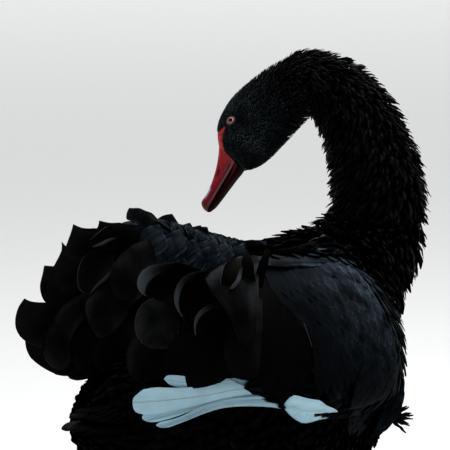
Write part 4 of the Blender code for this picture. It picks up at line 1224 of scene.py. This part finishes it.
def bill_axes():
    """The middle of the bill's base, and its directions forward, to the crown and to the left."""
    crown, left = head_axes(BILL_LEAN)
    return arch_place(*HEAD_STATIONS[-1][:2]), np.cross(left, crown), crown, left


def bare_mask(points):
    """1 on the bare red skin between the bill and the eye, 0 on feathered skin."""
    base, forward, crown, _ = bill_axes()
    offset = points - base
    along, out = offset @ forward, offset @ crown
    low, high = (np.interp(along, LORE[:, 0], LORE[:, k]) for k in (1, 2))
    inside = np.minimum(out - low, high - out) / 0.0008
    near = np.linalg.norm(offset, axis=1) < 0.05
    return np.clip(inside + 0.5, 0, 1) * (along > LORE[0, 0]) * near


# Feather sizes, tone and ruffling by station of the body line, from the tail's end to the bill.
body_length = by(
    (0, 0.030), (3, 0.030), (7, 0.026), (11, 0.019), (14, 0.0155), (18, 0.0125), (20, 0.0085),
    (21.5, 0.0056), (23, 0.0042), (25, 0.0030),
)
body_width = by(
    (0, 0.015), (3, 0.016), (7, 0.014), (11, 0.0085), (14, 0.0062), (18, 0.0052), (20, 0.0036),
    (21.5, 0.0024), (23, 0.0020), (25, 0.0015),
)
body_lift = by(
    (0, 0.009), (5, 0.009), (9, 0.011), (12, 0.014), (14, 0.0145), (18, 0.0105), (20, 0.0062),
    (21.5, 0.0032), (23, 0.0020), (25, 0.0009),
)
body_tone = by((20.59, 1.0), (20.6, 0.12), (21.4, 0.5), (22.3, 1.0))
body_ruffle = by(
    (0, 0.2), (8, 0.25), (11, 0.8), (13, 1.0), (18.5, 0.9), (20.5, 0.3), (22, 0.12), (25, 0.05)
)
EYE_CLEARANCE = 0.0046


def body_coat(name, start, end, material):
    """The small feathers of one length of the body line."""
    s, angle = scatter(
        BODY, start, end, lambda at: body_length(at) * 0.40, lambda at: body_width(at) * 0.75
    )
    points = BODY.point(s, angle)
    keep = ~(WINGS[1].holds(points, 0.012) | WINGS[-1].holds(points, 0.012))
    keep &= bare_mask(points) <= 0.3
    for sign in (1, -1):
        keep &= np.linalg.norm(points - eye_place(sign)[2], axis=1) >= EYE_CLEARANCE
    s, angle = s[keep], angle[keep]
    count = len(s)
    ruffle = body_ruffle(s)
    length = body_length(s) * RNG.uniform(0.85, 1.2, count)
    u = np.linspace(0, 1, 4)
    stand = body_lift(s) * (1 + ruffle * RNG.uniform(-0.45, 0.2, count))
    power = 1.25 + ruffle * RNG.uniform(-0.2, 0.9, count)
    heights = -0.0008 * (1 - u) + stand[:, None] * (1 - (1 - u) ** power[:, None])
    fall = RNG.normal(0, 0.08, count) + ruffle * RNG.normal(0, 0.16, count)
    centre, normal = laid(BODY, s, angle, length, fall, heights)
    shape = np.array([0.75, 1.0, 0.80, 0.22])
    half = body_width(s)[:, None] / 2 * shape * RNG.uniform(0.85, 1.15, count)[:, None]
    roll = RNG.normal(0, 0.15, count) + ruffle * RNG.normal(0, 0.35, count)
    grid, out = spread_vanes(centre, normal, half, 3, 0.35, roll)
    tones = np.clip(RNG.normal(0.5, 0.22, count), 0.05, 1.0) * body_tone(s)
    feather_piece(name, (grid, out, tones), material, thick=0.0004, roots=BODY.unwrapped(s, angle))


def wing_coat(name, sign, material, length_by, width_by, tone_and_sheen_by, rise=1.0):
    """Rounded overlapping coverts over a wing."""
    form = WINGS[sign]
    s, angle = scatter(
        form, 0.15, 7.8, lambda at: length_by(at) * 0.40, lambda at: width_by(at) * 0.62
    )
    keep = ~BODY.holds(form.point(s, angle, 0.004), 0.004)
    s, angle = s[keep], np.mod(angle[keep] + math.pi, math.tau) - math.pi
    count = len(s)
    length = length_by(s) * RNG.uniform(0.9, 1.12, count)
    u = np.linspace(0, 1, 7)
    stand = rise * (0.0062 + 0.03 * length) * RNG.uniform(0.92, 1.08, count)
    heights = -0.002 * (1 - u) + stand[:, None] * u**0.9
    fall = np.radians(fall_by_station(s) * fall_by_angle(np.degrees(angle)))
    centre, normal = laid(form, s, angle, length, fall + RNG.normal(0, 0.07, count), heights)
    shape = np.array([0.55, 0.82, 0.97, 1.0, 0.92, 0.70, 0.30])
    half = width_by(s)[:, None] / 2 * shape * RNG.uniform(0.9, 1.1, count)[:, None]
    grid, out = spread_vanes(centre, normal, half, 5, 0.12, RNG.normal(0.0, 0.10, count))
    tones = tone_and_sheen_by[0](s) * tone_and_sheen_by[1](np.degrees(angle)) + RNG.normal(0, 0.10, count)
    vanes = grid, out, np.clip(tones, 0.03, 1.0)
    feather_piece(name, vanes, material, thick=0.0005, roots=form.unwrapped(s, angle))


# Down a wing the coverts turn from its own lie, by station and by angle in degrees. Then each
# wing's feather sizes by station, and tones by both. The near wing's tones are mostly a painted
# sheen of the sky's light, brightest at its front and along its top, darker down and back.
fall_by_station = by((0, 70), (2, 62), (4, 50), (6, 38), (8, 25))
fall_by_angle = by((-180, 0), (-30, 0), (0, 0.1), (40, 1), (150, 1), (180, 0))
NEAR_COAT = (
    by((0, 0.020), (2, 0.034), (4, 0.046), (6, 0.052), (8, 0.052)),
    by((0, 0.009), (2, 0.014), (4, 0.020), (6, 0.026), (8, 0.028)),
    # tones: mostly a painted sheen, bright at the wing's front and top, dark down and back
    (
        by((0, 0.95), (3, 0.75), (5, 0.28), (7, 0.15)),
        by((0, 1.0), (40, 0.9), (80, 0.5), (110, 0.32), (150, 0.2)),
    ),
)
FAR_COAT = (
    by((0, 0.018), (2, 0.024), (4, 0.028), (6, 0.032), (8, 0.034)),
    by((0, 0.011), (2, 0.015), (4, 0.017), (6, 0.020), (8, 0.022)),
    (
        by((0, 0.6), (3, 0.75), (6.5, 0.75), (7.5, 0.3)),
        by((-90, 0.4), (-50, 1.0), (20, 1.0), (60, 0.5)),
    ),
)


def dent(values, middle, width):
    """1 at the middle, falling off to 0 over the width."""
    return np.exp(-(((values - middle) / width) ** 2))


def build_bill(name, stations, material, slot, node):
    """One mandible: an outer shell round to the mouth edges, closed by its inner face."""
    table = np.array(stations)
    rings, sides, inner = 56, 36, 8
    s = np.sin(np.linspace(0, math.pi / 2, rings)) * (len(table) - 1)
    row = spline(table, s)
    along, mouth, outer, half_width, slope = (row[:, k : k + 1] for k in range(5))
    angle = np.linspace(0, math.pi, sides + 1)[None]
    side = half_width * np.cos(angle)
    lift = np.sin(angle) ** 0.8
    out = mouth + (outer - mouth) * lift
    sign = 1 if table[0, 2] > table[0, 1] else -1
    # the mouth edge turns out in a lip, and a shallow groove runs along above it
    share = along / table[-1, 0]
    groove = dent(lift, 0.33, 0.08) * np.clip(1 - share, 0, 1) * np.clip(share * 6, 0, 1)
    side = side * (1 + 0.045 * dent(lift, 0.06, 0.07) - 0.05 * groove)
    if sign > 0:
        # the nail at the tip, and the nostril
        out = out + 0.0007 * dent(share, 0.90, 0.07) * np.clip(lift * 1.6 - 0.6, 0, 1)
        pit = dent(along, 0.0195, 0.0045) * dent(lift, 0.62, 0.10)
        side = side * (1 - 0.16 * pit)
        out = out - 0.0012 * pit
    back = np.linspace(-1, 1, inner + 2)[None, 1:-1]
    side = np.concatenate([side, half_width * back], axis=1)
    inner_out = mouth + sign * 0.0014 * (1 - back**2) * (share < 0.97)
    out = np.concatenate([out, inner_out], axis=1)
    base, forward, crown, left = bill_axes()
    along = along + 0.0003 - slope * (math.cos(HEAD_ROLL) * out + math.sin(HEAD_ROLL) * side)
    shell = bmesh.new()
    points = along[..., None] * forward + out[..., None] * crown + side[..., None] * left
    add_rings(shell, base + points)
    obj = shell_object(name, shell)
    lift = np.broadcast_to(lift, (rings, sides + 1))
    lift = np.concatenate([lift, np.full((rings, inner), -1.0)], axis=1)
    kept = [np.broadcast_to(share, side.shape), lift, side / half_width]
    keep_vector(obj, "bill", np.stack(kept, axis=-1).reshape(-1, 3))
    obj.data.set_sharp_from_angle(angle=math.radians(50))
    finish_piece(obj, material, slot, node)


LID_RADIUS = 0.0040
LID_THICK = 0.0008


def circle(turn, first, second):
    """Points of the unit circle in the plane of two directions."""
    return np.cos(turn)[:, None] * first + np.sin(turn)[:, None] * second


def build_eye(sign, name, eye_material, lid_material):
    """An eyeball, and its lids: a beaded ring on the head, a little pointed fore and aft."""
    centre, outward, surface = eye_place(sign)
    first = unit(np.cross(outward, UP))
    rings, sides = 28, 40
    tilt = np.linspace(0, math.pi, rings)
    turn = np.arange(sides) * math.tau / sides
    around = circle(turn, first, np.cross(outward, first))[None]
    ball = np.cos(tilt)[:, None, None] * outward + np.sin(tilt)[:, None, None] * around
    ball = centre + EYE_RADIUS * 0.985 * ball
    eye = make_object(name, ball.reshape(-1, 3), ring_faces(rings, sides))
    kept = np.empty((rings, sides, 3))
    kept[..., 0] = EYE_RADIUS * np.sin(tilt)[:, None] * 1000
    kept[..., 1], kept[..., 2] = np.cos(tilt)[:, None], turn
    keep_vector(eye, "iris", kept.reshape(-1, 3))
    finish_piece(eye, eye_material, "eye", name)
    forward = bill_axes()[1]
    fore = unit(forward - (forward @ outward) * outward)
    above = np.cross(outward, fore)
    loops, beads = 12, 96
    turn = np.arange(beads) * math.tau / beads
    reach = LID_RADIUS * (1 + 0.14 * np.abs(np.cos(turn)) ** 6)
    line = surface + reach[:, None] * circle(turn, fore, 0.93 * above)
    line = line + (0.0003 - 0.0004 * np.cos(turn) ** 2)[:, None] * outward
    bulge = (LID_THICK * (1 + 0.05 * np.sin(turn * 24)))[:, None, None]
    phi = (np.arange(loops) * math.tau / loops)[None, :, None]
    away = circle(turn, fore, above)[:, None]
    grid = line[:, None] + bulge * (np.cos(phi) * away + 1.15 * np.sin(phi) * outward)
    faces = ring_faces(beads, loops, True)[:, ::-1]
    lid = make_object(name.replace("eye", "lids"), grid.reshape(-1, 3), faces)
    finish_piece(lid, lid_material, "bill_red")


# The left leg: ahead, left, up and radius along the shank and the thigh, the hind toe, where the
# toes begin, and the ahead, left and radius of their tips.
LEG_TUCK = 0.018
LEG_STOPS = [
    (-0.128, 0.078, 0.013, 0.0085), (-0.118, 0.080, 0.013, 0.0100), (-0.100, 0.083, 0.012, 0.0075),
    (-0.060, 0.090, 0.009, 0.0065), (-0.036, 0.095, 0.007, 0.0075), (-0.028, 0.097, 0.005, 0.0055),
]
TIBIA_STOPS = [
    (-0.126, 0.078, 0.014, 0.0090), (-0.104, 0.076, 0.030, 0.0130), (-0.070, 0.066, 0.052, 0.0200),
]
HIND_TOE = [(-0.040, 0.093, 0.007, 0.003), (-0.050, 0.082, 0.004, 0.0024), (-0.058, 0.074, 0.0016, 0.0010)]
FOOT_ANKLE = np.array((-0.034, 0.095))
TOE_TIPS = [(0.046, 0.078, 0.0040), (0.062, 0.106, 0.0042), (0.044, 0.134, 0.0040)]
CLAW = ((-0.001, 0.0026, 0.0019), (0.003, 0.0024, 0.0013), (0.006, 0.0010, 0.0005))
WEB_THICK = 0.0009


def add_limb(shell, sign, stops, sides, steps, knuckles=0):
    """Adds a closed limb through points (ahead, left, up, radius), with swollen joints."""
    table = np.array(stops, float)
    s = np.linspace(0, len(table) - 1, steps)
    row = spline(table, s)
    centres = np.array([place(*leg_spot(sign, *item[:3])) for item in row])
    tangents = unit(np.gradient(centres, axis=0))
    turn = np.arange(sides) * math.tau / sides
    swell = 0.10 * np.cos(s / (len(table) - 1) * math.tau * knuckles) * (knuckles > 0)
    loops = []
    for centre, tangent, radius in zip(centres, tangents, row[:, 3] * (1 + swell)):
        sideways = unit(np.cross(tangent, UP))
        loops.append(centre + radius * circle(turn, np.cross(sideways, tangent), sideways))
    loops = np.array(loops)
    loops[..., 2] = np.maximum(loops[..., 2], FLOOR_GAP)
    add_rings(shell, loops)


def leg_spot(sign, ahead, left, up):
    """A place on the left leg, or its mirror image on the right."""
    return ahead, sign * (left - LEG_TUCK), up


def web(sign, first, second):
    """The upper points of the web between two toes, hollow towards its edge."""
    rows = []
    for share in np.linspace(0, 0.93, 16):
        a, b = (spline(np.array(toe), np.array([share * 5]))[0] for toe in (first, second))
        line = []
        for t in np.linspace(0, 1, 9):
            hollow = 4 * t * (1 - t)
            at = (1 - t) * a + t * b
            flat = at[:2] - 0.10 * hollow * share**2 * (at[:2] - FOOT_ANKLE)
            line.append(place(*leg_spot(sign, *flat, at[2] * (1 - 0.45 * hollow))))
        rows.append(line)
    return np.array(rows)


def build_leg(sign, name, material):
    """A folded leg and its webbed foot, the toes jointed and clawed, the web thin between them."""
    shell = bmesh.new()
    add_limb(shell, sign, LEG_STOPS, 20, 40)
    add_limb(shell, sign, TIBIA_STOPS, 20, 16)
    toes = []
    for ahead, left, radius in TOE_TIPS:
        tip = np.array((ahead, left))
        share = np.linspace(0, 1, 6)[:, None]
        flat = FOOT_ANKLE + (tip - FOOT_ANKLE) * share
        up, wide = 0.0050 - 0.0028 * share, 0.0062 + (radius * 0.62 - 0.0062) * share**0.7
        toes.append(np.concatenate([flat, up, wide], axis=1))
        add_limb(shell, sign, toes[-1], 14, 40, knuckles=4)
        heading = unit(tip - FOOT_ANKLE)
        claw = [(*(tip + out * heading), up, wide) for out, up, wide in CLAW]
        add_limb(shell, sign, claw, 10, 10)
    add_limb(shell, sign, HIND_TOE, 10, 12)
    for first, second in zip(toes[:-1], toes[1:]):
        upper = web(sign, first, second)
        lower = upper - WEB_THICK * UP
        lower[..., 2] = np.maximum(lower[..., 2], FLOOR_GAP)
        top, low = ([[shell.verts.new(p) for p in row] for row in grid] for grid in (upper, lower))
        rings = [*zip(top, top[1:]), *zip(low, low[1:]), (top[0], low[0]), (top[-1], low[-1])]
        rings += [[[row[k] for row in grid] for grid in (top, low)] for k in (0, -1)]
        for near, far in rings:
            for k in range(len(near) - 1):
                shell.faces.new((near[k], near[k + 1], far[k + 1], far[k]))
    obj = shell_object(name, shell)
    obj.data.set_sharp_from_angle(angle=math.radians(50))
    finish_piece(obj, material, "foot_skin", name)


TAIL_BASE = place(-0.236, 0.0, 0.130)
TAIL_SPREAD = 10
TAIL_LENGTH = 0.052
# The quills and the coverts: number, share of the length, height, width and rise.
TAIL_TIERS = (
    (15, 1.0, -0.003, 0.020, -0.06), (11, 0.74, 0.004, 0.018, -0.01),
    (9, 0.52, 0.008, 0.016, -0.01), (9, 0.66, -0.010, 0.018, -0.06),
)


def tail_vanes():
    """The tail's quills in a closed fan, with two tiers of coverts above and one below them."""
    vanes = []
    for count, reach, up, width, rise in TAIL_TIERS:
        for share in np.linspace(-1, 1, count):
            angle = math.radians(TAIL_SPREAD * share)
            length = TAIL_LENGTH * reach * (1 - 0.34 * share**2) * RNG.uniform(0.96, 1.04)
            root = TAIL_BASE + place(-0.010, 0.020 * share, up - 0.006 * abs(share))
            along = unit(place(-math.cos(angle), math.sin(angle), rise))
            middle = root + 0.5 * length * along + 0.002 * UP
            tip = root + length * along - 0.001 * UP
            vanes.append((*straight_vane(root, middle, tip, width, 8 * share, -14, UP), 0.1))
    return zip(*vanes)


def main():
    """Builds the view, the stage and every piece of the bird."""
    build_camera()
    build_stage()
    skin = build_skin(skin_material())
    bpy.context.view_layer.update()
    tree = BVHTree.FromObject(skin, bpy.context.evaluated_depsgraph_get())
    neck = plumage("neck_plumage", (0.0005, 0.0005, 0.0006), (0.012, 0.0132, 0.015), 0.45, gloss=0.025)
    head = plumage("head_plumage", (0.0030, 0.0040, 0.0045), (0.064, 0.086, 0.095), 0.5, gloss=0.02)
    body = plumage("body_plumage", (0.0006, 0.0006, 0.0007), (0.007, 0.0072, 0.008), 0.62, gloss=0.008)
    # the coverts' pale blue-grey: partly their own pale fringes, partly a painted sheen of the sky's light
    covert = plumage(
        "covert_plumage", (0.0014, 0.0019, 0.0025), (0.096, 0.136, 0.182), 0.5,
        barbs=0.0002, gloss=0.005, even=0.32, edged=0.8,
    )
    body_coat("coat_rump", 0.3, 3.0, body)
    body_coat("coat_belly", 3.0, 8.5, body)
    body_coat("coat_breast", 8.5, 12.6, neck)
    body_coat("coat_neck_low", 12.6, 15.2, neck)
    body_coat("coat_neck_middle", 15.2, 18.0, neck)
    body_coat("coat_neck_top", 18.0, 20.6, neck)
    body_coat("coat_head", 20.6, 24.99, head)
    build_bill("bill_above", UPPER_BILL, bill_material("bill_red", True), "bill_red", "bill_upper")
    build_bill("bill_below", LOWER_BILL, bill_material("bill_dark", False), "bill_dark", "bill_lower")
    eyes, lids, feet = eye_material(), lid_material(), foot_material()
    for side, sign in (("left", 1), ("right", -1)):
        build_eye(sign, "eye_" + side, eyes, lids)
        build_leg(sign, "leg_" + side, feet)
    feather_piece("tail_feathers", tail_vanes(), body, "tail", thick=0.0006)
    wing_coat("coat_wing_right", -1, covert, *NEAR_COAT)
    wing_coat("coat_wing_left", 1, covert, *FAR_COAT, rise=0.3)
    petal_dark, quill = petal_plumage(), white_quill()
    petals("tertials_left", LEFT_FAN, tree, petal_dark)
    # the flank's tones: random, with a painted sheen brighter at its outer edge
    flank = strip_feathers(
        FLANK_OUTER, FLANK_INNER, 9, 7, 0.26, 0.12, (0.007, 0.016, 0.018),
        lambda down, across: RNG.uniform(0.04, 0.20) * flank_sheen_across(across),
    )
    petals("flank_right", wisps() + flank, tree, covert, thick=0.0004)
    petals("coverts_right", NEAR_COVERTS, tree, covert)
    # the shoulder's tones paint a sheen, bright at its top and outer edge
    shoulder = strip_feathers(
        SHOULDER_OUTER, SHOULDER_INNER, 9, 13, 0.33, 0.07, (0.007, 0.0135, 0.0165),
        lambda down, across: shoulder_sheen_down(down) * shoulder_sheen_across(across),
    )
    petals("shoulder_right", shoulder, tree, covert, thick=0.0004)
    petals("scapulars_left", scale_feathers(), tree, covert, thick=0.0004)
    petals("tertials_right", RIGHT_CURLS, tree, petal_dark)
    petals("quills_right", RIGHT_QUILLS, tree, quill, "primaries_right", slot="white_quills")
    vanes = []
    for stops in LEFT_QUILLS:
        spots = [place(*stop) for stop in stops]
        vanes.append((*straight_vane(*spots, 0.022, 20, 6, -VIEW_RAY), 0.5))
    feather_piece("quills_left", zip(*vanes), quill, "primaries_left", thick=0.0006, slot="white_quills")


main()
